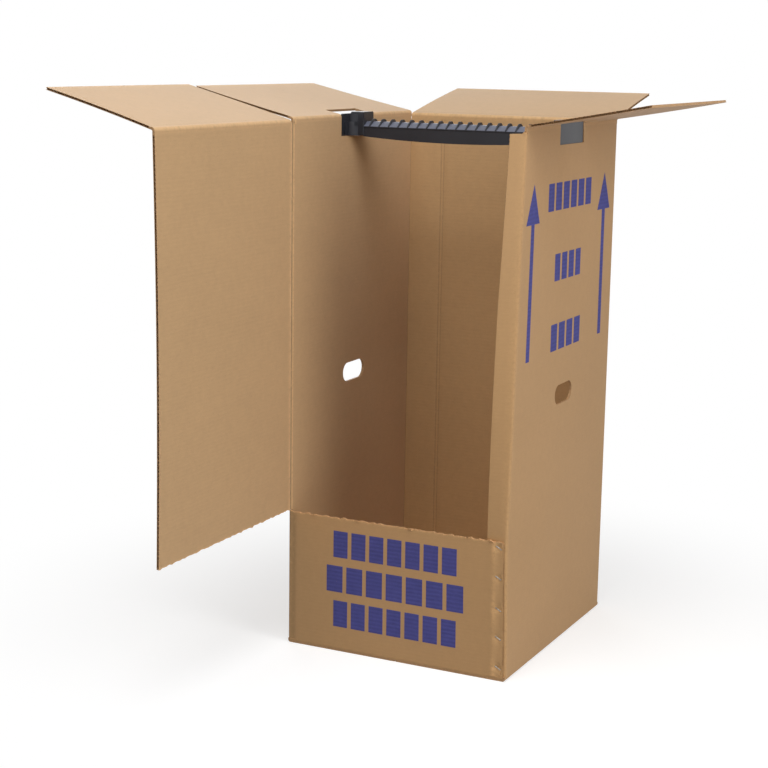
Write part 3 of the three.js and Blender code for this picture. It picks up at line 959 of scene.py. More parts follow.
def door_marks(flat):
    u, v = flat[:, 0], flat[:, 1]
    pale = 0.8 * smooth((DOOR_LOW + 3.5 - v) / 4) + 0.55 * near(u, -CREASE_HALF - 1, 2.5)
    return np.clip(pale, 0, 1), np.zeros(len(flat))


door_liners, door_waves = fluted_end(PANEL_END, 1, DOOR_LOW, DOOR_TOP)
door_us = stations(PANEL_END + FLUTE_DEPTH, -CREASE_HALF, 4.0)
door_vs = stations(DOOR_LOW, DOOR_TOP, 18.0, [DOOR_LOW + 4, DOOR_LOW + TEAR_BAND])
door = board_piece(
    "door_panel",
    gathered([flat_slab(door_us, door_vs), *door_liners]),
    fold_door,
    waves=[door_waves],
    marks=door_marks,
    shift=torn_bottom,
)
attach(door, "door")
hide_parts("front_door")

# %% [markdown]
# ## The flaps
#
# Each flap is a flat board with a slight taper, so that it clears its neighbours when the
# carton is closed. The two side flaps have a notch at the fold for the rail's end. A flap
# could be modelled in place, but drawn flat and folded by one function it stays true to
# its crease.

# %% Build the flaps
SIDE_TAPER = 20.0
BACK_TAPER = 3.0
DOOR_TAPER = 12.5
NOTCH_REACH = 33.0
GRIP_START = 90.0


def taper_shift(middle, half, fold, start_taper, end_taper):
    """Draws the ends of a flap in, the more the further they are from the fold."""

    def shift(flat):
        moved = flat.copy()
        away = flat[:, 0] - middle
        grip = smooth((np.abs(away) - GRIP_START) / (half - 12.0 - GRIP_START))
        share = np.clip((flat[:, 1] - fold) / FLAP_REACH, 0, 1)
        taper = np.where(away < 0, start_taper, -end_taper)
        moved[:, 0] += taper * share * grip
        return moved

    return shift


def flap_piece(name, side, body, middle, half, tapers, curl, node):
    fold = FLAPS[side]["fold"]
    low, high = fold + CREASE_HALF, fold + FLAP_REACH
    notched = side in ("left", "right")
    us = stations(
        middle - half + FLUTE_DEPTH,
        middle + half - FLUTE_DEPTH,
        14.0,
        [middle - CUT_HALF, middle + CUT_HALF],
    )
    vs = stations(low, high, 14.0, [fold + NOTCH_REACH])
    keep = None
    if notched:

        def keep(u, v):
            return abs(u - middle) > CUT_HALF or v > fold + NOTCH_REACH

    liners_a, waves_a = fluted_end(middle - half, 1, low, high)
    liners_b, waves_b = fluted_end(middle + half, -1, low, high)

    def marks(flat):
        edge = np.maximum(flat[:, 1] - high + 3.0, 0) / 3.0
        return 0.5 * edge, np.zeros(len(flat))

    made = board_piece(
        name,
        gathered([flat_slab(us, vs, keep), *liners_a, *liners_b]),
        flap_folder(side, curl),
        waves=[waves_a, waves_b],
        marks=marks,
        shift=taper_shift(middle, half, fold, *tapers),
    )
    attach(made, body)
    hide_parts(node)
    return made


BACK_MIDDLE = BACK_START + HALF_WIDTH
SIDE_HALF = HALF_DEPTH - 3.0
INNER_HALF = HALF_WIDTH - BOARD - 0.7
DOOR_MIDDLE = -HALF_WIDTH
FLAP_PLANS = (
    # side, middle, half its length, tapers at its two ends, curl
    ("left", LEFT_MIDDLE, SIDE_HALF, (SIDE_TAPER, SIDE_TAPER), -0.8),
    ("right", RIGHT_MIDDLE, SIDE_HALF, (SIDE_TAPER, SIDE_TAPER), -0.8),
    ("back", BACK_MIDDLE, INNER_HALF, (BACK_TAPER, BACK_TAPER), 1.5),
    ("door", DOOR_MIDDLE, INNER_HALF, (DOOR_TAPER, 0.0), 0.6),
)
for side, middle, half, tapers, curl in FLAP_PLANS:
    flap_piece(f"flap_{side}", side, f"{side}_flap", middle, half, tapers, curl, f"{side}_top_flap")

# %% [markdown]
# ## The creases
#
# A crease is where the board really bends, so it has to look right at every angle of its
# flap. Each is a narrow strip of its own, built with fine steps over the fold.

# %% Build the creases
def crease_lines(fold):
    offsets = [-8, -6.5, -5, -4, -3, -2.2, -1.6, -1.1, -0.6, 0, 0.6, 1.1, 1.6, 2.2, 3, 4, 5, 6.5, 8]
    return [fold + k for k in offsets]


def crease_marks(fold):
    def marks(flat):
        away = flat[:, 1] - fold
        inner = flat[:, 2] > BOARD / 2
        pale = 0.5 * near(away, 0.0, 2.5) + 0.25 * near(away, -5.0, 1.5)
        # Painted shade: darker along the fold on the outside face, in the bend's hollow.
        dark = np.where(inner, 0.0, 0.5 * near(away, 0.0, 1.0))
        return np.clip(pale, 0, 1), dark

    return marks


def top_crease(name, side, spans):
    fold = FLAPS[side]["fold"]
    slabs = [flat_slab(stations(a, b, 12.0), crease_lines(fold)) for a, b in spans]
    made = board_piece(name, gathered(slabs), flap_folder(side), marks=crease_marks(fold))
    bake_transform(made)
    return made


left_spans = [(1.2, LEFT_MIDDLE - CUT_HALF), (LEFT_MIDDLE + CUT_HALF, BACK_START - 3.0)]
right_spans = [
    (RIGHT_START + 3.0, RIGHT_MIDDLE - CUT_HALF),
    (RIGHT_MIDDLE + CUT_HALF, TAB_START - 1.0),
]
back_spans = [(BACK_START + 5.2, RIGHT_START - 5.2)]
door_spans = [(PANEL_END + 0.2, -5.2)]
CREASE_PLANS = (
    # side, the body that stays, the spans, the fold's middle, the way the flap points
    ("left", "carton", left_spans, (-HALF_WIDTH, 0, SIDE_FOLD), (-1, 0)),
    ("right", "carton", right_spans, (HALF_WIDTH, 0, SIDE_FOLD), (1, 0)),
    ("back", "carton", back_spans, (0, HALF_DEPTH, INNER_FOLD), (0, 1)),
    ("door", "door", door_spans, (-HALF_WIDTH, 0, INNER_FOLD), (-1, 0)),
)
for side, stays, spans, pivot, outward in CREASE_PLANS:
    top_crease(f"crease_{side}", side, spans)

# %% [markdown]
# The door's own crease runs down the front left corner. It has been scored, so a line is
# pressed into it between two pale bands of stretched paper. The line is a real groove,
# because a painted one would not catch the light as the door turns; its dark colour is
# painted shade in that groove.

# %% Build the door's crease
def hinge_shape(flat):
    moved = torn_bottom(flat)
    inner = flat[:, 2] > BOARD / 2
    groove = 1.5 * near(flat[:, 0], 0.0, 1.3)
    moved[:, 2] += np.where(inner, -groove, 0.35 * groove)
    return moved


def hinge_marks(flat):
    u = flat[:, 0]
    pale = 0.9 * near(u, -5.0, 2.4) + 0.9 * near(u, 5.5, 2.4)
    # Painted shade darkens the middle of the groove.
    dark = 1.0 * near(u, 0.0, 1.4)
    return np.clip(pale, 0, 1), np.clip(dark, 0, 1)


hinge_us = [-8, -6.5, -5, -3.8, -2.8, -2, -1.3, -0.6, 0, 0.6, 1.3, 2, 2.8, 3.8, 5, 6.5, 8]
hinge_vs = stations(TEAR_LEVEL + 1.0, INNER_FOLD - 1.0, 14.0, [DOOR_LOW + 4, DOOR_LOW + TEAR_BAND])
hinge = board_piece(
    "crease_hinge",
    flat_slab([float(k) for k in hinge_us], hinge_vs),
    fold_door,
    marks=hinge_marks,
    shift=hinge_shape,
)
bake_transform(hinge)

# %% [markdown]
# ## The print
#
# The carton is printed in one blue ink: two arrows that point up, and rows of plain blocks.
# Flexographic ink is thin and a little uneven, so the print is a tenth of a millimetre
# thick, follows the board's warps, and lets the paper's clouds show through its colour.

# %% The ink
def make_ink():
    material, tree, shader = shader_material("blue_ink", 0.78, specular=0.2)
    sheet = attribute(tree, "sheet", "Vector")
    paper = placed_paper(tree, sheet, srgb(76, 77, 140), (0.35, 0.45, 0.1, 0.12))
    missed = ramp(tree, noise(tree, sheet, (420.0, 420.0, 300.0), 3.0), 0.66, 0.8)
    missed = calc(tree, "MULTIPLY", missed, 0.5)
    colour = mixed(tree, missed, paper.outputs["Color"], srgb(150, 122, 128))
    tree.links.new(colour, shader.inputs["Base Color"])
    relief(tree, shader, paper.outputs["Height"], 0.0002)
    return material


ink = make_ink()
print("ink", ink.name)

# %% [markdown]
# The print could be a colour in the board's material, but then it would have no edge of
# its own and could not be swapped. So each outline is drawn on the flat blank, cut into
# strips that can bend, given a little thickness, and folded with the walls.

# %% Print on the walls
INK = 0.12


def printed(name, outlines, node):
    """Flat outlines of ink on the outside of the walls, as one piece."""
    sheet_mesh = bmesh.new()
    for outline in outlines:
        corners = [sheet_mesh.verts.new((u, v, -INK)) for u, v in outline]
        sheet_mesh.faces.new(corners[::-1])
    for axis, spacing in ((0, 12.0), (1, 18.0)):
        values = [vert.co[axis] for vert in sheet_mesh.verts]
        low, high = min(values), max(values)
        count = int((high - low) // spacing)
        for k in range(1, count + 1):
            place, normal = Vector((0, 0, 0)), Vector((0, 0, 0))
            place[axis] = low + k * (high - low) / (count + 1)
            normal[axis] = 1.0
            geometry = sheet_mesh.verts[:] + sheet_mesh.edges[:] + sheet_mesh.faces[:]
            bmesh.ops.bisect_plane(sheet_mesh, geom=geometry, plane_co=place, plane_no=normal)
    shell = bmesh.ops.extrude_face_region(sheet_mesh, geom=sheet_mesh.faces[:])
    for item in shell["geom"]:
        if isinstance(item, bmesh.types.BMVert):
            item.co.z = 0.02
    bmesh.ops.recalc_face_normals(sheet_mesh, faces=sheet_mesh.faces[:])
    mesh = bpy.data.meshes.new(name)
    sheet_mesh.to_mesh(mesh)
    sheet_mesh.free()
    flat = np.array([v.co for v in mesh.vertices], float)
    store(mesh, "sheet", flat * MM, "FLOAT_VECTOR")
    mesh.vertices.foreach_set("co", (fold_walls(flat) * MM).ravel())
    mesh.materials.append(ink)
    made = bpy.data.objects.new(name, mesh)
    bpy.context.scene.collection.objects.link(made)
    finish_mesh(made)
    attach(made, "carton")
    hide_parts(node)
    print(name, len(mesh.polygons), "faces")
    return made


def rectangle(u_low, u_high, v_low, v_high):
    return [(u_low, v_low), (u_high, v_low), (u_high, v_high), (u_low, v_high)]


def block_row(middle, length, count, high, height, space):
    """A row of equal blocks, hung from one level."""
    block = (length - (count - 1) * space) / count
    starts = [middle - length / 2 + k * (block + space) for k in range(count)]
    return [rectangle(a, a + block, high - height, high) for a in starts]


ARROW_LOW, ARROW_NECK, ARROW_HIGH = 588.0, 837.0, 909.0
SHAFT_HALF = 8.5
HEAD_HALF = 35.5
FRONT_ARROW, BACK_ARROW = 194, -190


def arrow_outline(middle):
    return [
        (middle - SHAFT_HALF, ARROW_LOW),
        (middle + SHAFT_HALF, ARROW_LOW),
        (middle + SHAFT_HALF, ARROW_NECK),
        (middle + HEAD_HALF, ARROW_NECK),
        (middle, ARROW_HIGH),
        (middle - HEAD_HALF, ARROW_NECK),
        (middle - SHAFT_HALF, ARROW_NECK),
    ]


printed("ink_arrow_front", [arrow_outline(RIGHT_MIDDLE + FRONT_ARROW)], "print_arrow_front")
printed("ink_arrow_back", [arrow_outline(RIGHT_MIDDLE + BACK_ARROW)], "print_arrow_back")
BLOCK_ROWS = (
    # wall, row, middle, length, how many blocks, upper edge, height, space between
    ("side", "upper", RIGHT_MIDDLE, 228, 6, 904, 51, 9),
    ("side", "middle", RIGHT_MIDDLE, 136, 4, 772, 51, 9),
    ("side", "lower", RIGHT_MIDDLE, 154, 4, 640, 51, 9),
    ("front", "upper", -HALF_WIDTH, 260, 7, 239, 52, 8),
    ("front", "middle", -HALF_WIDTH, 288, 7, 170, 52, 8),
    ("front", "lower", -HALF_WIDTH, 258, 7, 101, 52, 8),
)
for wall, row, *measures in BLOCK_ROWS:
    printed(f"ink_{wall}_{row}", block_row(*measures), f"print_{wall}_{row}")

# %% [markdown]
# ## The rail and the stitches
#
# The rail is moulded in dark plastic with a fine spark texture. The stitches are flat
# galvanised wire. Neither lies on the blank, so their materials read the object's own
# coordinates. A very fine noise moves the light on both, since it stays crisp close up.

# %% Plastic and wire
def make_plastic(name, colour):
    material, tree, shader = shader_material(name, 0.42, specular=0.34)
    place = add(tree, "ShaderNodeTexCoord").outputs["Object"]
    cloud = noise(tree, place, (14.0, 14.0, 14.0), 3.0)
    grain = noise(tree, place, (2600.0, 2600.0, 2600.0), 2.0)
    tone = calc(tree, "MULTIPLY_ADD", cloud, 0.5, 0.75)
    base = add(tree, "ShaderNodeRGB")
    base.outputs[0].default_value = colour
    tree.links.new(tinted(tree, base.outputs[0], tone), shader.inputs["Base Color"])
    rough = calc(tree, "MULTIPLY_ADD", cloud, 0.16, 0.3)
    tree.links.new(rough, shader.inputs["Roughness"])
    relief(tree, shader, grain, 0.00005)
    return material


def make_wire():
    material, tree, shader = shader_material("stitch_wire", 0.42, metallic=0.85)
    place = add(tree, "ShaderNodeTexCoord").outputs["Object"]
    dull = noise(tree, place, (500.0, 500.0, 500.0), 3.0)
    colour = mixed(tree, ramp(tree, dull, 0.35, 0.7), srgb(176, 172, 165), srgb(116, 108, 98))
    tree.links.new(colour, shader.inputs["Base Color"])
    tree.links.new(calc(tree, "MULTIPLY_ADD", dull, 0.35, 0.25), shader.inputs["Roughness"])
    relief(tree, shader, dull, 0.00005)
    return material


plastic = make_plastic("rail_plastic", srgb(40, 41, 47))
# A lighter plastic for the beam's upward slopes, as a painted highlight.
slope_highlight_plastic = make_plastic("rail_painted_highlight_band", srgb(96, 99, 114))
wire = make_wire()
print("plastic and wire", plastic.name, slope_highlight_plastic.name, wire.name)

# %% [markdown]
# The rail is a channel, open below, that hangs by a plate at each end. It is built from
# outlines, as its mould was drawn: each outline is pushed out to a solid and its edges
# are rounded a little, because a moulded edge is never sharp. The beam itself is lofted,
# since its lower edge bellies down towards the middle.

# %% Solids from outlines
def pushed(outline, axis, low, high, rounding=0.7):
    """An outline pushed along an axis, with its edges rounded, as points and faces."""
    shape = bmesh.new()

    def place(a, b, c):
        return {"x": (c, a, b), "y": (a, c, b), "z": (a, b, c)}[axis]

    near_face = shape.faces.new([shape.verts.new(place(a, b, low)) for a, b in outline])
    result = bmesh.ops.extrude_face_region(shape, geom=[near_face])
    offset = Vector(place(0, 0, high - low))
    for item in result["geom"]:
        if isinstance(item, bmesh.types.BMVert):
            item.co += offset
    bmesh.ops.recalc_face_normals(shape, faces=shape.faces[:])
    sharp = [e for e in shape.edges if e.calc_face_angle(0) > math.radians(30)]
    bmesh.ops.bevel(shape, geom=sharp, offset=rounding, segments=2, affect="EDGES", clamp_overlap=True)
    points = [tuple(v.co) for v in shape.verts]
    shape.verts.index_update()
    faces = [[v.index for v in f.verts] for f in shape.faces]
    shape.free()
    return points, faces


square = [(0, 0), (10, 0), (10, 10), (0, 10)]
print("a square pushed and rounded has", len(pushed(square, "x", 0, 5)[1]), "faces")

# %% [markdown]
# The rail has a beam, teeth that keep the hangers apart, and at each end a plate with
# ribs, a raised block and two flared cheeks. Every part is given by an outline that could
# be read off a side or a top view, which is easier to measure than a shape in space.

# %% The rail's parts
RAIL_END = 227.2
RAIL_TOP = 1015.0
BEAM_END = 198.0
BEAM_LIFT = 1.2
BELLY_SPAN = 222.0
BELLY_DROP = 10.0
TOOTH_COUNT = 19
TOOTH_PITCH = 20.5
TOOTH_HALF = 1.75
PLATE_HALF = 61.0
PLATE_THICKNESS = 2.9
BLOCK_HALF = 22.0
BLOCK_ENDS = (197.2, 226.0)
LEFT_BLOCK_RISE = 3.4
BEAD_RADIUS = 1.6
CHEEK_INNER = 8.0
CHEEK_CUT = 27.5


def beam():
    """The ridged channel, lofted from end to end."""

    def ring(x):
        share = 1 - min(1.0, abs(x) / BELLY_SPAN) ** 2
        low = SEAT - BELLY_DROP * share
        outer = [
            (-20.0, low),
            (-20.0, 986.6),
            (-20.9, 987.6),
            (-20.9, 989.6),
            (-19.4, 990.8),
            (-6.2, 998.4),
            (-4.4, 999.0),
        ]
        inner = [(-4.0, 996.0), (-17.0, 988.4), (-17.0, low)]
        outline = outer + [(-y, z) for y, z in outer[::-1]]
        outline += [(-y, z) for y, z in inner[::-1]] + inner
        return [(x, y, z + BEAM_LIFT) for y, z in outline]

    xs = np.linspace(-BEAM_END, BEAM_END, 45)
    points, faces = [], []
    for x in xs:
        points += ring(float(x))
    n = len(points) // len(xs)
    for k in range(len(xs) - 1):
        for i in range(n):
            a, b = k * n + i, k * n + (i + 1) % n
            faces.append([a, a + n, b + n, b])
    faces.append(list(range(n)))
    faces.append([len(points) - n + i for i in range(n)][::-1])
    return points, faces


def tooth(x):
    side = [(-21.0, 988.4), (-21.0, 991.0), (-7.6, 1002.6), (-5.2, 1004.0)]
    outline = side + [(-y, z) for y, z in side[::-1]]
    points, faces = pushed(outline, "x", x - TOOTH_HALF, x + TOOTH_HALF, 0.8)
    return [(a, b, c + BEAM_LIFT) for a, b, c in points], faces


def rounded_box(y_half, z_low, z_high, r=3.0, steps=5):
    outline = []
    for cy, cz, start in (
        (y_half - r, z_low + r, -90),
        (y_half - r, z_high - r, 0),
        (-y_half + r, z_high - r, 90),
        (-y_half + r, z_low + r, 180),
    ):
        for k in range(steps + 1):
            a = math.radians(start + 90 * k / steps)
            outline.append((cy + r * math.cos(a), cz + r * math.sin(a)))
    return outline


def rail_end(side):
    """The plate, the raised block, the ribs and the two flared cheeks of one end."""

    def span(a, b):
        return sorted((side * a, side * b))

    plate = rounded_box(PLATE_HALF, SEAT, RAIL_TOP)
    parts = [pushed(plate, "x", *span(RAIL_END - PLATE_THICKNESS, RAIL_END))]
    block_top = RAIL_TOP + (LEFT_BLOCK_RISE if side < 0 else 0.0)
    parts.append(pushed(rounded_box(BLOCK_HALF, SEAT, block_top), "x", *span(*BLOCK_ENDS), 1.2))
    for hand in (-1, 1):
        turns = [k * math.pi / 6 for k in range(12)]
        bead = [
            (side * 198.5 + BEAD_RADIUS * math.cos(a), hand * 21.0 + BEAD_RADIUS * math.sin(a))
            for a in turns
        ]
        parts.append(pushed(bead, "z", SEAT + 2.0, 1004.0, 0.3))
    for y in (-52.0, -38.0, 38.0, 52.0):
        rib = [(y - 1.0, 975.0), (y + 1.0, 975.0), (y + 1.0, 998.0), (y - 1.0, 998.0)]
        parts.append(pushed(rib, "x", *span(221.5, 225.5), 0.5))
    for hand in (-1, 1):
        start, tip = RAIL_END - 1.5, RAIL_END - 27.0
        curve = []
        for k in range(17):
            t = k / 16
            x = (1 - t) ** 2 * start + 2 * t * (1 - t) * (start - 3.5) + t * t * tip
            y = (1 - t) ** 2 * 50.0 + 2 * t * (1 - t) * 20.4 + t * t * 20.4
            curve.append((side * x, hand * y))
        foot = [(side * tip, hand * CHEEK_INNER), (side * start, hand * CHEEK_INNER)]
        parts.append(pushed(curve + foot, "z", SEAT, 999.2, 0.8))
        upper = [(x, y) for x, y in curve if abs(y) < CHEEK_CUT]
        upper += [*foot, (side * start, hand * CHEEK_CUT)]
        parts.append(pushed(upper, "z", 990.0, RAIL_TOP - 0.6, 0.8))
    return parts


print("teeth", TOOTH_COUNT, "over", (TOOTH_COUNT - 1) * TOOTH_PITCH, "mm")

# %% [markdown]
# The parts go into one mesh, as one moulding. The beam's upward slopes get a lighter
# plastic, a painted highlight for the light that falls on them from above.

# %% Build the rail
rail_parts = [beam()]
rail_parts += [tooth((k - TOOTH_COUNT // 2) * TOOTH_PITCH) for k in range(TOOTH_COUNT)]
rail_parts += rail_end(-1) + rail_end(1)
rail_points, rail_faces = gathered(rail_parts)
rail = mesh_object("rail", [tuple(c * MM for c in p) for p in rail_points], rail_faces)
outward_faces = bmesh.new()
outward_faces.from_mesh(rail.data)
bmesh.ops.recalc_face_normals(outward_faces, faces=outward_faces.faces[:])
outward_faces.to_mesh(rail.data)
outward_faces.free()
rail.data.materials.append(plastic)
rail.data.materials.append(slope_highlight_plastic)
for face in rail.data.polygons[: len(rail_parts[0][1])]:
    # Upward slopes take the lighter plastic: a painted highlight.
    if face.normal.z > 0.6 and abs(face.normal.y) > 0.3:
        face.material_index = 1
finish_mesh(rail, 40.0)
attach(rail, "carton")
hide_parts("hanging_rail")
print("rail", len(rail.data.polygons), "faces")

# %% [markdown]
# A stitch is one bent wire: a crown that lies on the front, two legs that go through both
# boards, and two ends that are clinched behind. A small oval is swept along that path. A
# curve with a bevel would do as well, but plain points keep the wire's flat side outward.

# %% Sweep a flat wire along a path
WIRE_WIDTH = 2.2
WIRE_THICKNESS = 0.9
CROWN_HALF = 6.1
STITCH_LEAN = 30.0
STITCH_SINK = 1.2


def swept_wire(path, wide, thick, sides=8):
    """An oval tube along a path of points, as points and faces."""
    points, faces = [], []
    path = [Vector(p) for p in path]
    broad = Vector((0, 0, 1))
    for k, p in enumerate(path):
        ahead = path[min(k + 1, len(path) - 1)] - path[max(k - 1, 0)]
        ahead.normalize()
        across = ahead.cross(broad).normalized()
        for i in range(sides):
            a = 2 * math.pi * i / sides
            points.append(p + broad * (wide / 2 * math.cos(a)) + across * (thick / 2 * math.sin(a)))
    for k in range(len(path) - 1):
        for i in range(sides):
            a, b = k * sides + i, k * sides + (i + 1) % sides
            faces.append([a, b, b + sides, a + sides])
    faces.append(list(range(sides))[::-1])
    faces.append([len(points) - sides + i for i in range(sides)])
    return [tuple(p) for p in points], faces


def stitch_path():
    """The wire in its own plane: x along the crown, y into the box."""
    front, back, half, bend = -0.75, 2 * BOARD + 0.75, CROWN_HALF, 1.0
    path = [(-1.2, back, 0), (-half + bend, back, 0)]
    path += [(-half + bend * (1 - math.sin(a)), back - bend * (1 - math.cos(a)), 0) for a in (0.5, 1.0)]
    path += [(-half, back - bend, 0), (-half, front + bend, 0)]
    path += [(-half + bend * (1 - math.cos(a)), front + bend * (1 - math.sin(a)), 0) for a in (0.5, 1.0)]
    path += [(-half + bend, front, 0), (-half / 2, front + 0.25, 0), (0, front + 0.35, 0)]
    return path + [(-x, y, z) for x, y, z in path[-2::-1]]


for k, level in enumerate(STITCH_LEVELS):
    points, faces = swept_wire(stitch_path(), WIRE_WIDTH, WIRE_THICKNESS)
    made = mesh_object(f"stitch_{k + 1}", [Vector(p) * MM for p in points], faces)
    lean = Matrix.Rotation(math.radians(STITCH_LEAN), 4, "Y")
    pull = float(right_lean(np.array([TAB_START]), np.array([level]))[0])
    place = Vector((HALF_WIDTH - STITCH_INSET + pull, -HALF_DEPTH + STITCH_SINK, level))
    made.data.transform(Matrix.Translation(place * MM) @ lean)
    made.data.materials.append(wire)
    finish_mesh(made, 50.0)
    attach(made, "carton")
    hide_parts(f"corner_stitch_{k + 1}")
print("stitches", len(STITCH_LEVELS))

# %% [markdown]
# Where the perforation tore, tufts of paper stand up from the edge, paler than the
# liner because the torn fibres show. They break the outline, so they are modelled and not
# painted. Each is a small ragged scrap that follows the wall.

# %% Tufts of torn paper
def tuft(middle, base, width, height, lean, seed, depth=0.0):
    """A ragged scrap of liner standing on an edge, in the flat blank."""
    columns, rows = 7, 4
    points, faces = [], []
    for side in (0, 1):
        for j in range(rows + 1):
            for i in range(columns + 1):
                a, b = i / columns, j / rows
                peak = math.sin(math.pi * a) ** 0.6 * (0.7 + 0.3 * math.sin(seed * 3.1 + 9.0 * a))
                u = middle + (a - 0.5) * width * (1 - 0.35 * b)
                v = base + b * height * peak
                s = depth - lean * b * b + 0.35 * side + 0.2 * math.sin(7 * a + seed)
                points.append((u, v, s))
    size = (rows + 1) * (columns + 1)

    def at(side, i, j):
        return side * size + j * (columns + 1) + i

    for j in range(rows):
        for i in range(columns):
            quad = [(i, j), (i + 1, j), (i + 1, j + 1), (i, j + 1)]
            faces.append([at(1, *q) for q in quad])
            faces.append([at(0, *q) for q in quad[::-1]])
    rim = [(i, 0) for i in range(columns)] + [(columns, j) for j in range(rows)]
    rim += [(i, rows) for i in range(columns, 0, -1)] + [(0, j) for j in range(rows, 0, -1)]
    for k, q in enumerate(rim):
        after = rim[(k + 1) % len(rim)]
        faces.append([at(0, *q), at(0, *after), at(1, *after), at(1, *q)])
    return points, faces


def all_pale(flat):
    return np.full(len(flat), 0.9), np.zeros(len(flat))


torn = [
    tuft(-56, 262.0, 9, 6.0, 2.0, 1.0),
    tuft(-149, 262.5, 12, 5.0, 2.5, 2.2),
    tuft(-182, 262.5, 8, 5.5, 1.0, 3.1),
    tuft(-261, 262.5, 14, 4.5, 3.0, 4.4),
    tuft(-380, 262.5, 8, 5.0, 1.5, 5.3),
    tuft(-428, 262.0, 16, 5.0, 2.0, 6.7),
]
scraps = board_piece("torn_panel_paper", gathered(torn), fold_walls, marks=all_pale)
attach(scraps, "carton")
door_torn = [
    tuft(-70, -DOOR_LOW - 2.0, 9, 5.0, 1.0, 1.7),
    tuft(-205, -DOOR_LOW - 2.0, 7, 4.0, 1.5, 2.9),
    tuft(-330, -DOOR_LOW - 2.0, 11, 4.5, 1.0, 3.6),
]
flipped = [([(u, -v, s) for u, v, s in pts], [f[::-1] for f in faces]) for pts, faces in door_torn]
door_scraps = board_piece("torn_door_paper", gathered(flipped), fold_door, marks=all_pale)
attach(door_scraps, "door")
stub = [
    tuft(9.0, 1001.0, 6.5, 15.0, 0.6, 2.0, BOARD + 0.4),
    tuft(TAB_START + 3.0, 999.0, 15, 6.5, 1.5, 4.1),
]
corner_stub = board_piece("torn_corner_paper", gathered(stub), fold_walls, marks=all_pale)
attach(corner_stub, "carton")

# %% [markdown]
# ## Floor, light and camera
#
# The floor is pale and plain, and turns white away from the box, so that the picture has
# no horizon. Large soft panels give most of the light, as in a product studio: above, in
# front, on the right and, more weakly, behind. A dim even sky fills what they don't reach.
# The panels' powers were found by lighting the box with one at a time and adding up what
# each gave.

# %% The rays that see the background
def seen_rays(tree):
    """1 for a ray that shows the background straight, in a gloss or through glass."""
    path = add(tree, "ShaderNodeLightPath")
    seen = calc(tree, "MAXIMUM", path.outputs["Is Camera Ray"], path.outputs["Is Glossy Ray"])
    return calc(tree, "MAXIMUM", seen, path.outputs["Is Transmission Ray"])


print("rays that show white: seen, mirrored and let through")

# %% [markdown]
# Near the box the floor keeps the shadow. Further off it glows a plain white, so that its
# edge never shows. A floor that is only bright would need strong lamps, and those would
# wash out the box. For the light that bounces off it, the floor is a plain light grey.

# %% The floor
WHITE = (1.0, 1.0, 1.0, 1.0)
BLACK = (0.0, 0.0, 0.0, 1.0)
FLOOR_HALF = 14.0
FLOOR_DROP = 0.0005
NEAR_WHITE = 0.6
NEAR_GREY = (0.52, 0.52, 0.52, 1.0)
BOUNCE_GREY = (0.66, 0.66, 0.66, 1.0)
SHADOW_START, SHADOW_END = 0.3, 1.15


def make_floor():
    """A floor that keeps the box's shadow near it and turns plain white further off."""
    material, tree, shader = shader_material("studio_floor", 0.9, specular=0.0)
    seen = seen_rays(tree)
    place = add(tree, "ShaderNodeTexCoord").outputs["Object"]
    reach = add(tree, "ShaderNodeVectorMath", operation="LENGTH")
    tree.links.new(place, reach.inputs[0])
    far = ramp(tree, reach.outputs["Value"], SHADOW_START, SHADOW_END)
    whiteness = calc(tree, "MULTIPLY_ADD", far, 1.0 - NEAR_WHITE, NEAR_WHITE)
    white = calc(tree, "MULTIPLY", seen, whiteness)
    lit = mixed(tree, far, NEAR_GREY, BLACK)
    colour = mixed(tree, seen, BOUNCE_GREY, lit)
    tree.links.new(colour, shader.inputs["Base Color"])
    glow = mixed(tree, white, BLACK, WHITE)
    tree.links.new(glow, shader.inputs["Emission Color"])
    shader.inputs["Emission Strength"].default_value = 1.0
    corners = [(x * FLOOR_HALF, y * FLOOR_HALF, 0) for x, y in ((-1, -1), (1, -1), (1, 1), (-1, 1))]
    made = mesh_object("floor", corners, [[0, 1, 2, 3]])
    made.data.materials.append(material)
    made.location.z = -FLOOR_DROP
    return made


make_floor()
print("floor", 2 * FLOOR_HALF, "m wide")

# %% [markdown]
# The sky is white where it is seen, and dim where it only lights the box. A panel is a
# round lamp that is turned towards its aim; the wider it is, the softer its shadow.

# %% The light
def make_world(strength):
    world = bpy.data.worlds.new("studio_sky")
    bpy.context.scene.world = world
    world.use_nodes = True
    tree = world.node_tree
    background = tree.nodes["Background"]
    seen = seen_rays(tree)
    background.inputs["Color"].default_value = WHITE
    level = calc(tree, "MULTIPLY_ADD", seen, 1.0 - strength, strength)
    tree.links.new(level, background.inputs["Strength"])


def soft_panel(name, place, aim, size, power):
    lamp = bpy.data.lights.new(name, "AREA")
    lamp.shape = "DISK"
    lamp.size = size
    lamp.energy = power
    made = bpy.data.objects.new(name, lamp)
    bpy.context.scene.collection.objects.link(made)
    made.location = place
    made.rotation_mode = "QUATERNION"
    made.rotation_quaternion = (Vector(aim) - Vector(place)).to_track_quat("-Z", "Y")
    return made


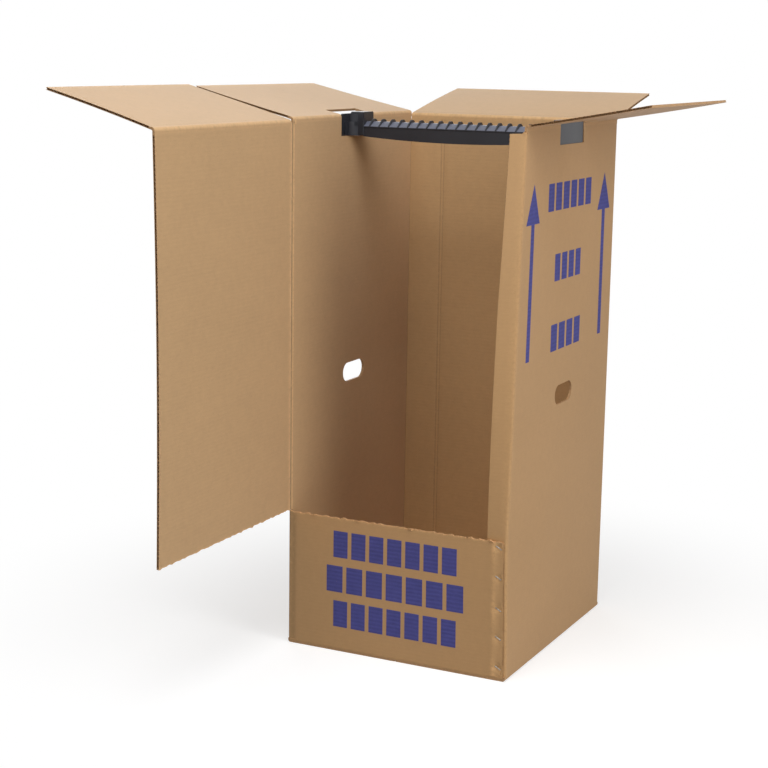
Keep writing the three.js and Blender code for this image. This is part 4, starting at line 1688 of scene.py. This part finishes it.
SKY_STRENGTH = 0.15
PANELS = (
    # name, place in metres, aim, width in metres, power in watts
    ("panel_overhead", (0.2, -0.2, 3.8), (0, 0, 0.8), 2.6, 9),
    ("panel_forward", (0.1, -1.5, 3.5), (0, 0, 0.8), 2.2, 59),
    ("panel_right", (3.0, -1.1, 2.5), (0, 0, 0.9), 2.0, 38),
    ("panel_right_low", (3.8, -1.2, 1.15), (0, -0.1, 0.75), 1.8, 34),
    ("panel_front", (-0.6, -4.0, 3.2), (0, 0, 1.0), 2.2, 8),
    ("panel_back", (-2.4, 3.2, 2.2), (0, 0, 0.5), 2.2, 26),
)
make_world(SKY_STRENGTH)
for panel in PANELS:
    soft_panel(*panel)
print("panels", len(PANELS))

# %% [markdown]
# The camera stands where the photographer stood. Its place, angles and focal length were
# worked out from the box's corners, and the small roll is part of that. A long lens far
# away keeps the upright edges nearly parallel.

# %% The camera
AZIMUTH, ELEVATION, ROLL = math.radians(26.32), math.radians(11.03), math.radians(0.92)
FOCAL_PIXELS = 1717.0
PICTURE = 768
SENSOR = 36.0
CAMERA_PLACE = (1350, -3041, 1139)


def make_camera():
    data = bpy.data.cameras.new("camera")
    data.sensor_width = SENSOR
    data.lens = SENSOR * FOCAL_PIXELS / PICTURE
    data.clip_start, data.clip_end = 0.1, 60.0
    made = bpy.data.objects.new("camera", data)
    bpy.context.scene.collection.objects.link(made)
    back = Vector(
        (
            math.sin(AZIMUTH) * math.cos(ELEVATION),
            -math.cos(AZIMUTH) * math.cos(ELEVATION),
            math.sin(ELEVATION),
        )
    )
    level = Vector((0, 0, 1)).cross(back).normalized()
    upward = back.cross(level)
    right = level * math.cos(ROLL) + upward * math.sin(ROLL)
    up = upward * math.cos(ROLL) - level * math.sin(ROLL)
    turned = Matrix((right, up, back)).transposed().to_4x4()
    made.matrix_world = Matrix.Translation(Vector(CAMERA_PLACE) * MM) @ turned
    bpy.context.scene.camera = made
    return made


camera = make_camera()
print("camera lens", round(camera.data.lens, 2), "mm")
bpy.context.scene.view_settings.view_transform = "Standard"
